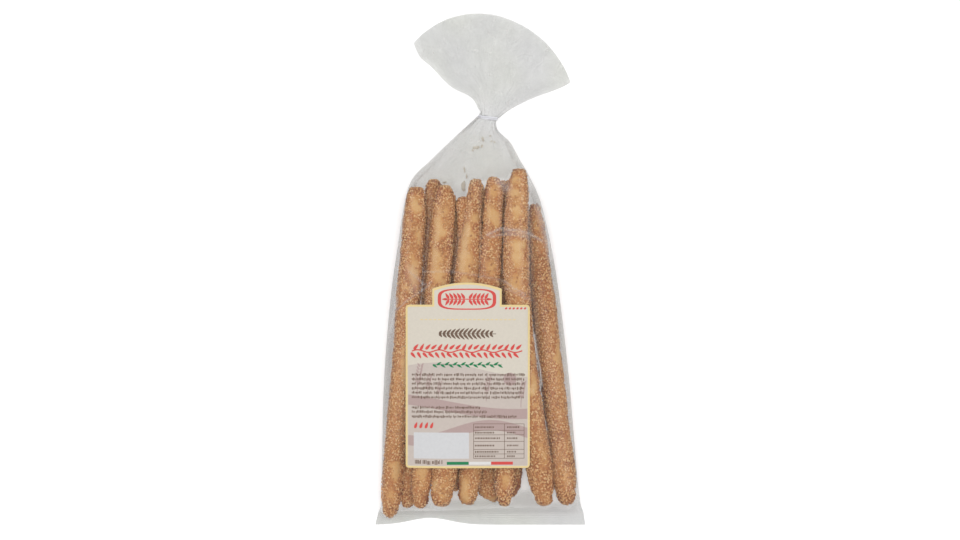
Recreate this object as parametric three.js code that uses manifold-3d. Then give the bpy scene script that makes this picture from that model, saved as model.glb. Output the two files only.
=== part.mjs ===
// A clear bag of sesame breadsticks, lying on its back: the filled bag with its crimped bottom seal,
// gathered neck and open fan of film, the tie round the neck, and the front label.
// Millimetres. +X runs across the bag, +Y towards its tied top, +Z up through its front.
import * as THREE from 'three';
import Module from 'manifold-3d';

// ---- Driving dimensions -------------------------------------------------------------------------

// Loft sections of the bag, from the sealed bottom edge to the mouth of the fan. left and right are
// the ends of a section in plan, bow is how far its middle arches towards the mouth, side is the
// height of its two ends, low and high its underside and top, and flat the part of its underside
// that is level before it curves up to the sides.
const SECTIONS = [
  { left: [-67.4, -164.6], right: [67.7, -164.6], bow: 0, side: 0.9, low: 0.3, high: 1.5, flat: 0.9 },
  { left: [-65.4, -156.6], right: [66.6, -156.6], bow: 0, side: 1.2, low: 0.2, high: 2.2, flat: 0.9 },
  { left: [-63.4, -149.5], right: [64.4, -149.5], bow: 0, side: 6, low: 0, high: 12, flat: 0.8 },
  { left: [-62.9, -128.0], right: [61.9, -128.0], bow: 0, side: 12, low: 0, high: 30, flat: 0.72 },
  { left: [-61.4, -70.0], right: [57.0, -70.0], bow: 0, side: 14, low: 0, high: 33, flat: 0.72 },
  { left: [-57.4, -20.0], right: [51.2, -20.0], bow: 0, side: 14, low: 0, high: 33, flat: 0.72 },
  { left: [-53.1, 12.0], right: [46.1, 12.0], bow: 0, side: 14, low: 0, high: 33, flat: 0.7 },
  { left: [-48.4, 42.0], right: [39.2, 42.0], bow: 0, side: 14, low: 0, high: 33, flat: 0.65 },
  { left: [-43.2, 58.0], right: [32.4, 58.0], bow: 0, side: 13, low: 0, high: 30, flat: 0.6 },
  { left: [-31.3, 70.0], right: [25.5, 70.0], bow: 0, side: 12, low: 0.3, high: 25, flat: 0.5 },
  { left: [-18.6, 82.5], right: [19.3, 81.4], bow: 0, side: 10.5, low: 1.2, high: 19, flat: 0.3 },
  { left: [-8.2, 92.2], right: [12.0, 88.8], bow: 0.5, side: 9.3, low: 2.4, high: 15.5, flat: 0.1 },
  { left: [-0.4, 99.8], right: [10.7, 94.6], bow: 0, side: 8.8, low: 3.1, high: 14.5, flat: 0 },
  { left: [-1.4, 103.0], right: [13.9, 97.8], bow: 1.5, side: 8.4, low: 2.9, high: 14.3, flat: 0 },
  { left: [-6.2, 110.4], right: [22.6, 104.0], bow: 7, side: 7, low: 2, high: 14, flat: 0.1 },
  { left: [-18.6, 117.0], right: [34.8, 110.0], bow: 17, side: 4.6, low: 0.8, high: 13, flat: 0.2 },
  { left: [-31.2, 129.8], right: [47.2, 114.6], bow: 25, side: 2.6, low: 0.2, high: 10.5, flat: 0.4 },
  { left: [-38.9, 136.6], right: [53.1, 117.0], bow: 27.8, side: 2, low: 0.2, high: 9, flat: 0.5 },
  { left: [-42.8, 145.4], right: [58.3, 120.0], bow: 30, side: 1.4, low: 0.2, high: 8, flat: 0.6 },
];
const NECK_SECTION = 12;
const BODY_END_SECTION = 10;

// How much further the fan's rows arch out on their left than on their right.
const FAN_SKEW = 0.1;

// The bottom edge of the seal is drawn up in one shallow wave.
const SEAL_WAVE_RISE = 4.4;
const SEAL_WAVE_X = -32;
const SEAL_WAVE_WIDTH = 18;
const SEAL_WAVE_REACH = 12;
const SEAL_EDGE_Y = -164.6;
const SEAL_INNER_Y = -158;

// Where the film rises out of the flat seal, and its height and roundness at the seal.
const SEAL_RISE_START = SEAL_EDGE_Y + 6;
const SEAL_RISE_END = SEAL_INNER_Y + 4;
const SEAL_TENT_HEIGHT = 1.2;
const SEAL_TENT_RADIUS = 0.6;

// A row with less bow than this is straight.
const LEAST_BOW = 0.05;

// The breadsticks that the film is drawn over: both ends of each stick's axis, how far its middle
// bows sideways, how far up the stick that bow leans (1 is the middle), how far it arches up, and
// its radius.
const STICKS = [
  { top: [-40.6, 52.2, 15.5], end: [-58.0, -159.4, 9.0], bow: 0.6, lean: 2, arch: 3, radius: 7.4 },
  { top: [-22.2, 53.1, 18.5], end: [-38.7, -152.8, 17.5], bow: 0.6, lean: 1.3, arch: 2.2, radius: 7.2 },
  { top: [-2.6, 57.0, 18.5], end: [-25.2, -151.2, 19.5], bow: 0.9, lean: 1, arch: 2, radius: 7.6 },
  { top: [9.0, 58.2, 28.0], end: [-8.8, -150.2, 17.0], bow: 2.9, lean: 1, arch: 0, radius: 6.8 },
  { top: [25.2, 63.4, 26.5], end: [41.6, -151.2, 11.5], bow: -7.6, lean: 1.25, arch: 5, radius: 8.0 },
  { top: [34.8, 41.2, 17.0], end: [55.9, -151.0, 7.9], bow: -1.2, lean: 1.6, arch: -2.8, radius: 7.4 },
  { top: [16.0, 56.3, 12.5], end: [16.0, -151.2, 19.0], bow: 0, lean: 1, arch: 0.3, radius: 6.6 },
  { top: [-29.6, 57.2, 7.5], end: [-48.0, -152.8, 7.3], bow: 5.5, lean: 1, arch: 0, radius: 6.7 },
];

// How far a stick's ends are rounded off, and the roundness of the film beyond them.
const TIP_LENGTH = 9;
const TENT_RADIUS = 5.2;

// How the film lies over the sticks.
const FILM_CLEARANCE = 0.5;
const RIDGE_SHARE = 0.45;
const RIDGE_DEPTH = 2.2;
const ARC_SAMPLES = 9;

// Gathers of the film, which run out from the neck.
const PLEATS = 6.5;
const PLEAT_DEPTH = 1.1;

// How many sections above the neck the fan starts to open and is fully open.
const FAN_START = 1;
const FAN_OPEN = 3;

// Front label, a rounded rectangle with an arched crest.
const LABEL_LEFT = -47.4;
const LABEL_RIGHT = 31.7;
const LABEL_BOTTOM = -126.7;
const LABEL_TOP = -22.7;
const LABEL_CORNER = 2.2;
const CREST_LEFT = -30.4;
const CREST_RIGHT = 13.8;
const CREST_SHOULDER = -12.5;
const CREST_CROWN = -8.6;
const LABEL_THICKNESS = 0.5;
const LABEL_GAP = 0.6;

// Tie: a flat band of two cords side by side round the neck.
const TIE_CLEARANCE = 0.8;
const TIE_CORD_RADIUS = 0.5;
const TIE_CORD_PITCH = 1.5;
const TIE_SEGMENTS = 36;

// Where the round sides of the band's section start and end, in half turns.
const TIE_UPPER_SIDE = [-0.5, 0.35];
const TIE_LOWER_SIDE = [0.65, 1.5];
const TIE_SIDE_POINTS = 4;

// Mesh fineness.
const ROW_STEP = 6.2;
const TOP_COLUMNS = 36;
const UNDER_COLUMNS = 16;
const LABEL_STEP = 4.8;
const LABEL_MARGIN = 2;
const LABEL_PRISM_HEIGHT = 60;
const LABEL_CURVE_POINTS = 5;

// How strongly the columns of the front crowd towards the side edges.
const EDGE_CROWDING = 0.35;

// Halvings in the search for the row at a given y.
const SEARCH_STEPS = 30;
const TINY = 1e-6;

// ---- Small helpers ------------------------------------------------------------------------------

const { clamp, lerp, smoothstep } = THREE.MathUtils;

// Heights and proportions between two sections, at a share of the way along.
function mixSections(index, share) {
  const from = SECTIONS[index];
  const to = SECTIONS[Math.min(index + 1, SECTIONS.length - 1)];
  const mixed = {};
  for (const key of ['side', 'low', 'high', 'flat']) {
    mixed[key] = lerp(from[key], to[key], share);
  }
  return mixed;
}

function railCurve(edge) {
  const points = SECTIONS.map((s) => new THREE.Vector3(s[edge][0], s[edge][1], s.bow));
  return new THREE.CatmullRomCurve3(points, false, 'catmullrom', 0.5);
}

const leftRail = railCurve('left');
const rightRail = railCurve('right');

// One cross row of the bag: its ends, bow and heights.
function rowAt(index, share) {
  const place = (index + share) / (SECTIONS.length - 1);
  const left = leftRail.getPoint(place);
  const right = rightRail.getPoint(place);
  const row = mixSections(index, share);
  row.left = new THREE.Vector2(left.x, left.y);
  row.right = new THREE.Vector2(right.x, right.y);
  row.bow = Math.max(0, left.z);
  row.station = index + share;
  return row;
}

// A point of a row in plan. across runs from -1 at the left end to 1 at the right.
function planPoint(row, across) {
  const chord = row.right.clone().sub(row.left);
  const half = chord.length() / 2;
  const normal = new THREE.Vector2(-chord.y, chord.x).normalize();
  let along = across;
  let rise = 0;
  if (row.bow > LEAST_BOW) {
    const arcRadius = (half * half + row.bow * row.bow) / (2 * row.bow);
    const sweep = row.bow > half ? Math.PI - Math.asin(half / arcRadius) : Math.asin(half / arcRadius);
    along = (arcRadius / half) * Math.sin(across * sweep);
    rise = arcRadius * Math.cos(across * sweep) - (arcRadius - row.bow);
    rise *= 1 - FAN_SKEW * across;
  }
  const point = row.left.clone().lerp(row.right, (along + 1) / 2).addScaledVector(normal, rise);
  const fade = 1 - smoothstep(point.y, SEAL_EDGE_Y, SEAL_EDGE_Y + SEAL_WAVE_REACH);
  const offset = (point.x - SEAL_WAVE_X) / SEAL_WAVE_WIDTH;
  point.y += SEAL_WAVE_RISE * fade * Math.exp(-offset * offset);
  return point;
}

// ---- The film over the sticks -------------------------------------------------------------------

const neckRow = rowAt(NECK_SECTION, 0);
const neckCentre = neckRow.left.clone().lerp(neckRow.right, 0.5);
const neckHeight = neckRow.side;

// What a stick holds up at one y: a circle across it, and beyond its ends the thin tent of film
// that runs on to the neck or down to the seal.
function supportAt(stick, y) {
  const [topX, topY, topZ] = stick.top;
  const [endX, endY, endZ] = stick.end;
  if (y > topY) {
    const share = clamp((y - topY) / (neckCentre.y - topY), 0, 1);
    return {
      x: lerp(topX, neckCentre.x, share),
      z: lerp(topZ, neckHeight, share),
      radius: TENT_RADIUS,
    };
  }
  if (y < endY) {
    const share = endY > SEAL_INNER_Y ? clamp((endY - y) / (endY - SEAL_INNER_Y), 0, 1) : 1;
    return {
      x: endX,
      z: lerp(endZ, SEAL_TENT_HEIGHT, share),
      radius: lerp(TENT_RADIUS, SEAL_TENT_RADIUS, share),
    };
  }
  const share = (y - endY) / (topY - endY);
  const leaning = share ** stick.lean;
  const fromTip = Math.min(y - endY, topY - y) / TIP_LENGTH;
  const round = Math.sqrt(1 - (1 - clamp(fromTip, 0, 1)) ** 2);
  return {
    x: lerp(endX, topX, share) + stick.bow * 4 * leaning * (1 - leaning),
    z: lerp(endZ, topZ, share) + stick.arch * 4 * share * (1 - share),
    radius: lerp(TENT_RADIUS, stick.radius, round),
  };
}

// Upper convex hull of points sorted by x.
function upperHull(points) {
  const hull = [];
  for (const point of points) {
    while (hull.length > 1) {
      const a = hull[hull.length - 2];
      const b = hull[hull.length - 1];
      if ((b.x - a.x) * (point.y - a.y) - (b.y - a.y) * (point.x - a.x) < 0) break;
      hull.pop();
    }
    hull.push(point);
  }
  return hull;
}

function heightOnHull(hull, x) {
  for (let i = 1; i < hull.length; i += 1) {
    if (x <= hull[i].x) {
      const a = hull[i - 1];
      const b = hull[i];
      return lerp(a.y, b.y, (x - a.x) / Math.max(b.x - a.x, TINY));
    }
  }
  return hull[hull.length - 1].y;
}

// Height of the film at (x, y) between the two side edges: drawn tight from stick to stick, with
// shallow valleys between them. valleys = 0 gives the tight sheet that the label follows.
function filmHeight(x, y, leftX, rightX, side, valleys) {
  const supports = STICKS.map((stick) => supportAt(stick, y));
  const points = [new THREE.Vector2(leftX, side), new THREE.Vector2(rightX, side)];
  let resting = side;
  for (const support of supports) {
    const radius = support.radius + FILM_CLEARANCE;
    for (let i = 0; i < ARC_SAMPLES; i += 1) {
      const angle = (Math.PI * (i + 0.5)) / ARC_SAMPLES;
      const px = clamp(support.x + radius * Math.cos(angle), leftX, rightX);
      points.push(new THREE.Vector2(px, support.z + radius * Math.sin(angle)));
    }
    const offset = Math.abs(x - support.x);
    if (offset < radius) {
      resting = Math.max(resting, support.z + Math.sqrt(radius * radius - offset * offset));
    }
  }
  points.sort((a, b) => a.x - b.x || a.y - b.y);
  const tight = heightOnHull(upperHull(points), x);
  return tight - valleys * Math.min(RIDGE_DEPTH, RIDGE_SHARE * (tight - resting));
}

// ---- The bag ------------------------------------------------------------------------------------

// Height of the top of a row: sticks under film in the body, a gathered oval at the neck, and a
// pleated sheet in the fan.
function topHeight(row, across, point) {
  const oval = Math.sqrt(Math.max(0, 1 - across * across));
  const inSeal = 1 - smoothstep(point.y, SEAL_RISE_START, SEAL_RISE_END);
  const free = row.side + (row.high - row.side) * oval;
  if (row.station >= NECK_SECTION) {
    const open = smoothstep(row.station, NECK_SECTION + FAN_START, NECK_SECTION + FAN_OPEN);
    return free + open * PLEAT_DEPTH * oval * Math.cos(across * PLEATS * Math.PI);
  }
  const over = filmHeight(point.x, point.y, row.left.x, row.right.x, row.side, 1);
  const gathered = smoothstep(row.station, BODY_END_SECTION, NECK_SECTION);
  return lerp(lerp(over, free, gathered), free, inSeal);
}

function underHeight(row, across) {
  const edge = clamp((Math.abs(across) - row.flat) / (1 - row.flat), 0, 1);
  return row.side - (row.side - row.low) * Math.sqrt(1 - edge * edge);
}

function ringOf(row) {
  const ring = [];
  for (let i = 0; i <= TOP_COLUMNS; i += 1) {
    const crowded = -Math.cos((Math.PI * i) / TOP_COLUMNS);
    const across = lerp((2 * i) / TOP_COLUMNS - 1, crowded, EDGE_CROWDING);
    const point = planPoint(row, across);
    const atRail = i === 0 || i === TOP_COLUMNS;
    ring.push(new THREE.Vector3(point.x, point.y, atRail ? row.side : topHeight(row, across, point)));
  }
  for (let i = UNDER_COLUMNS - 1; i > 0; i -= 1) {
    const across = -Math.cos((Math.PI * i) / UNDER_COLUMNS);
    const point = planPoint(row, across);
    ring.push(new THREE.Vector3(point.x, point.y, underHeight(row, across)));
  }
  return ring;
}

// Closed solid through a list of rings with equal numbers of points, with flat caps.
function loftGeometry(rings) {
  const count = rings[0].length;
  const positions = [];
  const indices = [];
  for (const ring of rings) {
    for (const point of ring) positions.push(point.x, point.y, point.z);
  }
  for (let r = 0; r + 1 < rings.length; r += 1) {
    for (let i = 0; i < count; i += 1) {
      const a = r * count + i;
      const b = r * count + ((i + 1) % count);
      indices.push(a, b, a + count);
      indices.push(b, b + count, a + count);
    }
  }
  const capOf = (ring, base, facing) => {
    const across = ring[TOP_COLUMNS].clone().sub(ring[0]).setZ(0).normalize();
    const outline = ring.map((p) => new THREE.Vector2(p.clone().sub(ring[0]).dot(across), p.z));
    for (const corners of THREE.ShapeUtils.triangulateShape(outline, [])) {
      const area = THREE.ShapeUtils.area(corners.map((corner) => outline[corner]));
      const [a, b, c] = area * facing > 0 ? corners : corners.reverse();
      indices.push(base + a, base + b, base + c);
    }
  };
  capOf(rings[0], 0, 1);
  capOf(rings[rings.length - 1], (rings.length - 1) * count, -1);
  const geometry = new THREE.BufferGeometry();
  geometry.setAttribute('position', new THREE.Float32BufferAttribute(positions, 3));
  geometry.setIndex(indices);
  geometry.computeVertexNormals();
  return geometry;
}

function bagRows() {
  const rows = [];
  for (let index = 0; index + 1 < SECTIONS.length; index += 1) {
    const from = SECTIONS[index];
    const to = SECTIONS[index + 1];
    const span = Math.max(to.left[1] - from.left[1], to.right[1] - from.right[1], to.bow - from.bow);
    const steps = Math.max(1, Math.ceil(span / ROW_STEP));
    for (let step = 0; step < steps; step += 1) rows.push(rowAt(index, step / steps));
  }
  rows.push(rowAt(SECTIONS.length - 2, 1));
  return rows;
}

function makeBag() {
  return loftGeometry(bagRows().map(ringOf));
}

// ---- The label ----------------------------------------------------------------------------------

function labelOutline() {
  const r = LABEL_CORNER;
  const shape = new THREE.Shape();
  shape.moveTo(LABEL_LEFT + r, LABEL_BOTTOM);
  shape.lineTo(LABEL_RIGHT - r, LABEL_BOTTOM);
  shape.quadraticCurveTo(LABEL_RIGHT, LABEL_BOTTOM, LABEL_RIGHT, LABEL_BOTTOM + r);
  shape.lineTo(LABEL_RIGHT, LABEL_TOP - r);
  shape.quadraticCurveTo(LABEL_RIGHT, LABEL_TOP, LABEL_RIGHT - r, LABEL_TOP);
  shape.lineTo(CREST_RIGHT, LABEL_TOP);
  shape.lineTo(CREST_RIGHT, CREST_SHOULDER);
  const crestMiddle = (CREST_LEFT + CREST_RIGHT) / 2;
  shape.quadraticCurveTo(crestMiddle, 2 * CREST_CROWN - CREST_SHOULDER, CREST_LEFT, CREST_SHOULDER);
  shape.lineTo(CREST_LEFT, LABEL_TOP);
  shape.lineTo(LABEL_LEFT + r, LABEL_TOP);
  shape.quadraticCurveTo(LABEL_LEFT, LABEL_TOP, LABEL_LEFT, LABEL_TOP - r);
  shape.lineTo(LABEL_LEFT, LABEL_BOTTOM + r);
  shape.quadraticCurveTo(LABEL_LEFT, LABEL_BOTTOM, LABEL_LEFT + r, LABEL_BOTTOM);
  return shape;
}

// Body row at a given y, found between the sections either side of it.
function bodyRowAtY(y) {
  let index = 0;
  while (SECTIONS[index + 1].left[1] < y) index += 1;
  let low = 0;
  let high = 1;
  for (let i = 0; i < SEARCH_STEPS; i += 1) {
    const middle = (low + high) / 2;
    if (rowAt(index, middle).left.y < y) low = middle;
    else high = middle;
  }
  return rowAt(index, low);
}

// A curved slab over the label's box, which follows the tight film at a small gap.
function labelSlab() {
  const across = Math.ceil((LABEL_RIGHT - LABEL_LEFT + 2 * LABEL_MARGIN) / LABEL_STEP);
  const along = Math.ceil((CREST_CROWN - LABEL_BOTTOM + 2 * LABEL_MARGIN) / LABEL_STEP);
  const positions = [];
  const indices = [];
  for (const lift of [LABEL_GAP + LABEL_THICKNESS, LABEL_GAP]) {
    for (let j = 0; j <= along; j += 1) {
      const y = lerp(LABEL_BOTTOM - LABEL_MARGIN, CREST_CROWN + LABEL_MARGIN, j / along);
      const row = bodyRowAtY(y);
      for (let i = 0; i <= across; i += 1) {
        const x = lerp(LABEL_LEFT - LABEL_MARGIN, LABEL_RIGHT + LABEL_MARGIN, i / across);
        const z = filmHeight(x, y, row.left.x, row.right.x, row.side, 0);
        positions.push(x, y, z + lift);
      }
    }
  }
  const wide = across + 1;
  const under = wide * (along + 1);
  const at = (i, j) => j * wide + i;
  for (let j = 0; j < along; j += 1) {
    for (let i = 0; i < across; i += 1) {
      const [a, b, c, d] = [at(i, j), at(i + 1, j), at(i + 1, j + 1), at(i, j + 1)];
      indices.push(a, b, c, a, c, d);
      indices.push(under + a, under + c, under + b, under + a, under + d, under + c);
    }
  }
  const rim = [];
  for (let i = 0; i < across; i += 1) rim.push(at(i, 0));
  for (let j = 0; j < along; j += 1) rim.push(at(across, j));
  for (let i = across; i > 0; i -= 1) rim.push(at(i, along));
  for (let j = along; j > 0; j -= 1) rim.push(at(0, j));
  for (let k = 0; k < rim.length; k += 1) {
    const a = rim[k];
    const b = rim[(k + 1) % rim.length];
    indices.push(a, under + a, b);
    indices.push(b, under + a, under + b);
  }
  return { positions, indices };
}

function toManifold(wasm, positions, indices) {
  return new wasm.Manifold(new wasm.Mesh({
    numProp: 3,
    vertProperties: new Float32Array(positions),
    triVerts: new Uint32Array(indices),
  }));
}

// The label's outline as a tall prism, with shared vertices.
function labelPrism() {
  const outline = labelOutline().extractPoints(LABEL_CURVE_POINTS).shape;
  if (outline[0].distanceTo(outline[outline.length - 1]) < TINY) outline.pop();
  const count = outline.length;
  const positions = [];
  const indices = [];
  for (const z of [0, LABEL_PRISM_HEIGHT]) {
    for (const point of outline) positions.push(point.x, point.y, z);
  }
  for (let i = 0; i < count; i += 1) {
    const next = (i + 1) % count;
    indices.push(i, next, count + i, next, count + next, count + i);
  }
  for (const [a, b, c] of THREE.ShapeUtils.triangulateShape(outline, [])) {
    indices.push(a, c, b, count + a, count + b, count + c);
  }
  return { positions, indices };
}

async function makeLabel() {
  const wasm = await Module();
  wasm.setup();
  const slab = labelSlab();
  const prism = labelPrism();
  const cut = toManifold(wasm, slab.positions, slab.indices)
    .intersect(toManifold(wasm, prism.positions, prism.indices));
  const mesh = cut.getMesh();
  const geometry = new THREE.BufferGeometry();
  geometry.setAttribute('position', new THREE.BufferAttribute(new Float32Array(mesh.vertProperties), 3));
  geometry.setIndex(new THREE.BufferAttribute(new Uint32Array(mesh.triVerts), 1));
  geometry.computeVertexNormals();
  return geometry;
}

// ---- The tie ------------------------------------------------------------------------------------

// Section of the band: a rounded outline round two cords that lie side by side. x runs along the
// neck and y outwards from it.
function tieSection() {
  const points = [];
  const half = TIE_CORD_PITCH / 2;
  for (const [centre, [start, end]] of [[half, TIE_UPPER_SIDE], [-half, TIE_LOWER_SIDE]]) {
    for (let i = 0; i < TIE_SIDE_POINTS; i += 1) {
      const angle = Math.PI * lerp(start, end, i / (TIE_SIDE_POINTS - 1));
      points.push([
        centre + TIE_CORD_RADIUS * Math.cos(angle),
        TIE_CORD_RADIUS * (1 + Math.sin(angle)),
      ]);
    }
  }
  return points;
}

function makeTie() {
  const across = neckRow.right.clone().sub(neckRow.left);
  const halfWide = across.length() / 2 + TIE_CLEARANCE;
  const halfHigh = (neckRow.high - neckRow.low) / 2 + TIE_CLEARANCE;
  across.normalize();
  const axis = new THREE.Vector2(-across.y, across.x);
  const section = tieSection();
  const positions = [];
  const indices = [];
  for (let i = 0; i < TIE_SEGMENTS; i += 1) {
    const angle = (2 * Math.PI * i) / TIE_SEGMENTS;
    for (const [along, out] of section) {
      const sideways = (halfWide + out) * Math.cos(angle);
      const centre = neckCentre.clone().addScaledVector(across, sideways).addScaledVector(axis, along);
      positions.push(centre.x, centre.y, neckHeight + (halfHigh + out) * Math.sin(angle));
    }
  }
  const count = section.length;
  for (let i = 0; i < TIE_SEGMENTS; i += 1) {
    for (let k = 0; k < count; k += 1) {
      const a = i * count + k;
      const b = i * count + ((k + 1) % count);
      const c = ((i + 1) % TIE_SEGMENTS) * count + k;
      const d = ((i + 1) % TIE_SEGMENTS) * count + ((k + 1) % count);
      indices.push(a, c, b, b, c, d);
    }
  }
  const geometry = new THREE.BufferGeometry();
  geometry.setAttribute('position', new THREE.Float32BufferAttribute(positions, 3));
  geometry.setIndex(indices);
  geometry.computeVertexNormals();
  return geometry;
}

// ---- The pack -----------------------------------------------------------------------------------

const film = new THREE.MeshStandardMaterial({
  color: 0xd8d6d0, roughness: 0.18, metalness: 0, transparent: true, opacity: 0.35,
});
const paper = new THREE.MeshStandardMaterial({ color: 0xe2d9c8, roughness: 0.55, metalness: 0 });
const cord = new THREE.MeshStandardMaterial({ color: 0xe4e3e6, roughness: 0.3, metalness: 0 });

function named(name, geometry, material) {
  const mesh = new THREE.Mesh(geometry, material);
  mesh.name = name;
  return mesh;
}

const pack = new THREE.Group();
pack.name = 'breadstick_bag';
pack.add(named('bag', makeBag(), film));
pack.add(named('label', await makeLabel(), paper));
pack.add(named('tie', makeTie(), cord));

// The origin is on the resting plane, under the middle of the whole.
const box = new THREE.Box3().setFromObject(pack);
pack.position.set(-(box.min.x + box.max.x) / 2, -(box.min.y + box.max.y) / 2, 0);

export default pack;
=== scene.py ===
"""A clear film bag of sesame breadsticks, lying on its back.

Eleven baked sticks with a sesame coat, one of them with a short twin grown onto its side, lie in
two uneven layers inside a clear film bag. The bag is crimped flat at its bottom, gathered and tied
at its neck, and spreads into an open fan above the tie. A paper label with an arched crest is stuck
on its front. Lengths are metres unless a comment says otherwise. +X runs across the bag, +Y towards
its tied end and +Z up out of its front.
"""

import logging
import math
from dataclasses import dataclass, field
from enum import Enum

import bmesh
import bpy
import numpy as np
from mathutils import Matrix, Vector, noise


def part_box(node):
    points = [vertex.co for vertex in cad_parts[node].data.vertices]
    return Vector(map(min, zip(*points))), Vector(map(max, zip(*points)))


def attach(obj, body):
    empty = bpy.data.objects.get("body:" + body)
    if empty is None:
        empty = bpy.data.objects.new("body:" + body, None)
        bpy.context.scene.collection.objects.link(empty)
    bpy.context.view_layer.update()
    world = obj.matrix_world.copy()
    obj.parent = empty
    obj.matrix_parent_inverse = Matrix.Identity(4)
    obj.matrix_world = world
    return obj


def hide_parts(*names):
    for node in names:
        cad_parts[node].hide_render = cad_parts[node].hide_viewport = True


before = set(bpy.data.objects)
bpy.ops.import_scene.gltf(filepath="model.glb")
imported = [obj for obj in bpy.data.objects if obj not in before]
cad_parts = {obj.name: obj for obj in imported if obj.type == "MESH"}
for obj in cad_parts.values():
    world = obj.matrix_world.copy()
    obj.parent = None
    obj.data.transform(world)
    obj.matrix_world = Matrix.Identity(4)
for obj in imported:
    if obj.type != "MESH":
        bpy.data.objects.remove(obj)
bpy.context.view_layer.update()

LOG = logging.getLogger("breadstick_bag")
MM = 0.001
BODY = "root"

Array = np.ndarray
Colour = tuple[float, float, float]
Point2 = tuple[float, float]
Point3 = tuple[float, float, float]
Socket = bpy.types.NodeSocket
Node = bpy.types.Node
Material = bpy.types.Material
Piece = bpy.types.Object


# ---- Numbers ----------------------------------------------------------------------------------


def smooth_step(value: Array, low: float, high: float) -> Array:
    """Rises smoothly from 0 at low to 1 at high."""
    share = np.clip((np.asarray(value, float) - low) / (high - low), 0.0, 1.0)
    return share * share * (3.0 - 2.0 * share)


def blend(first: Array, second: Array, share: Array) -> Array:
    """The value at a share of the way from the first to the second."""
    return first + (second - first) * share


def unit(vectors: Array) -> Array:
    """The same directions with a length of 1."""
    return vectors / np.linalg.norm(vectors, axis=-1, keepdims=True)


def lumps(points: Array, size: float, seed: float) -> Array:
    """Smooth noise of about -1 to 1 at each point.

    Args:
        points: Points with three coordinates on the last axis.
        size: How far apart the lumps are.
        seed: A number that picks another field of lumps.

    Returns:
        One value for each point.
    """
    cells = points.reshape(-1, 3) / size + np.array([seed * 7.13, seed * 3.71, seed * 5.37])
    values = np.array([noise.noise(cell) for cell in cells.tolist()])
    return values.reshape(points.shape[:-1])


def folds(points: Array, size: float, seed: float) -> Array:
    """Noise with sharp ridges, from 0 in the open to 1 on a ridge."""
    return 1.0 - np.minimum(1.0, np.abs(lumps(points, size, seed)) * 3.0)


def blur(grid: Array, spread_rows: float, spread_columns: float) -> Array:
    """A height grid smoothed along both axes.

    Args:
        grid: The heights.
        spread_rows: Standard deviation along the first axis, in cells.
        spread_columns: Standard deviation along the second axis, in cells.

    Returns:
        A grid of the same shape.
    """
    result = grid
    for axis, spread in enumerate((spread_rows, spread_columns)):
        reach = int(math.ceil(3 * spread))
        weights = np.exp(-0.5 * (np.arange(-reach, reach + 1) / spread) ** 2)
        weights /= weights.sum()
        margins = [(0, 0), (0, 0)]
        margins[axis] = (reach, reach)
        padded = np.pad(result, margins, mode="edge")
        result = np.apply_along_axis(np.convolve, axis, padded, weights, "valid")
    return result


def smooth_rail(points: Array, places: Array) -> Array:
    """Points on the smooth curve that passes through a list of points.

    Args:
        points: The points that the curve passes through, one row each.
        places: Where to read the curve, counted in points from the first one.

    Returns:
        One row for each place.
    """
    padded = np.vstack([2 * points[0] - points[1], points, 2 * points[-1] - points[-2]])
    index = np.clip(np.floor(places).astype(int), 0, len(points) - 2)
    t = (places - index)[:, None]
    before, start, end, after = (padded[index + k] for k in range(4))
    leave = (end - before) / 2
    arrive = (after - start) / 2
    from_start = (2 * t**3 - 3 * t**2 + 1) * start + (t**3 - 2 * t**2 + t) * leave
    return from_start + (3 * t**2 - 2 * t**3) * end + (t**3 - t**2) * arrive


# ---- Meshes -----------------------------------------------------------------------------------


def mesh_object(name: str, points: Array, faces: list, smooth: bool = True) -> Piece:
    """A new mesh object in the scene.

    Args:
        name: The piece's name.
        points: Its vertices, one row each.
        faces: Its faces, as lists of vertex numbers.
        smooth: Whether its faces are shaded smooth.

    Returns:
        The object, at the origin.
    """
    mesh = bpy.data.meshes.new(name)
    mesh.from_pydata(points.tolist(), [], faces, shade_flat=not smooth)
    mesh.validate()
    piece = bpy.data.objects.new(name, mesh)
    bpy.context.scene.collection.objects.link(piece)
    return piece


def add_values(piece: Piece, name: str, values: Array) -> None:
    """Stores one number for each vertex, for a finish to read."""
    attribute = piece.data.attributes.new(name, "FLOAT", "POINT")
    attribute.data.foreach_set("value", np.asarray(values, np.float32).ravel())


def dress(piece: Piece, material: Material) -> Piece:
    """Gives a piece its finish and its slot, and lets it ride on the body.

    Args:
        piece: The piece.
        material: Its finish.

    Returns:
        The piece.
    """
    piece.data.materials.append(material)
    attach(piece, BODY)
    LOG.info("%s: %d faces", piece.name, len(piece.data.polygons))
    return piece


def ring_faces(rings: int, around: int) -> list:
    """Four-sided faces that join rings of vertices, each ring closed on itself.

    Args:
        rings: How many rings there are.
        around: Vertices in each ring.

    Returns:
        The faces.
    """
    row = np.arange(rings - 1)[:, None] * around
    here = np.arange(around)[None, :]
    after = (here + 1) % around
    faces = np.stack([row + here, row + after, row + around + after, row + around + here], axis=-1)
    return faces.reshape(-1, 4).tolist()


def bar_faces(rings: int, around: int) -> list:
    """Faces of a bar of rings, closed by two tips that are numbered straight after the rings.

    Args:
        rings: How many rings there are.
        around: Vertices in each ring.

    Returns:
        The faces.
    """
    faces = ring_faces(rings, around)
    tip, last = rings * around, (rings - 1) * around
    for k in range(around):
        after = (k + 1) % around
        faces += [[tip, after, k], [tip + 1, last + k, last + after]]
    return faces


# ---- Finishes ---------------------------------------------------------------------------------


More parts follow.
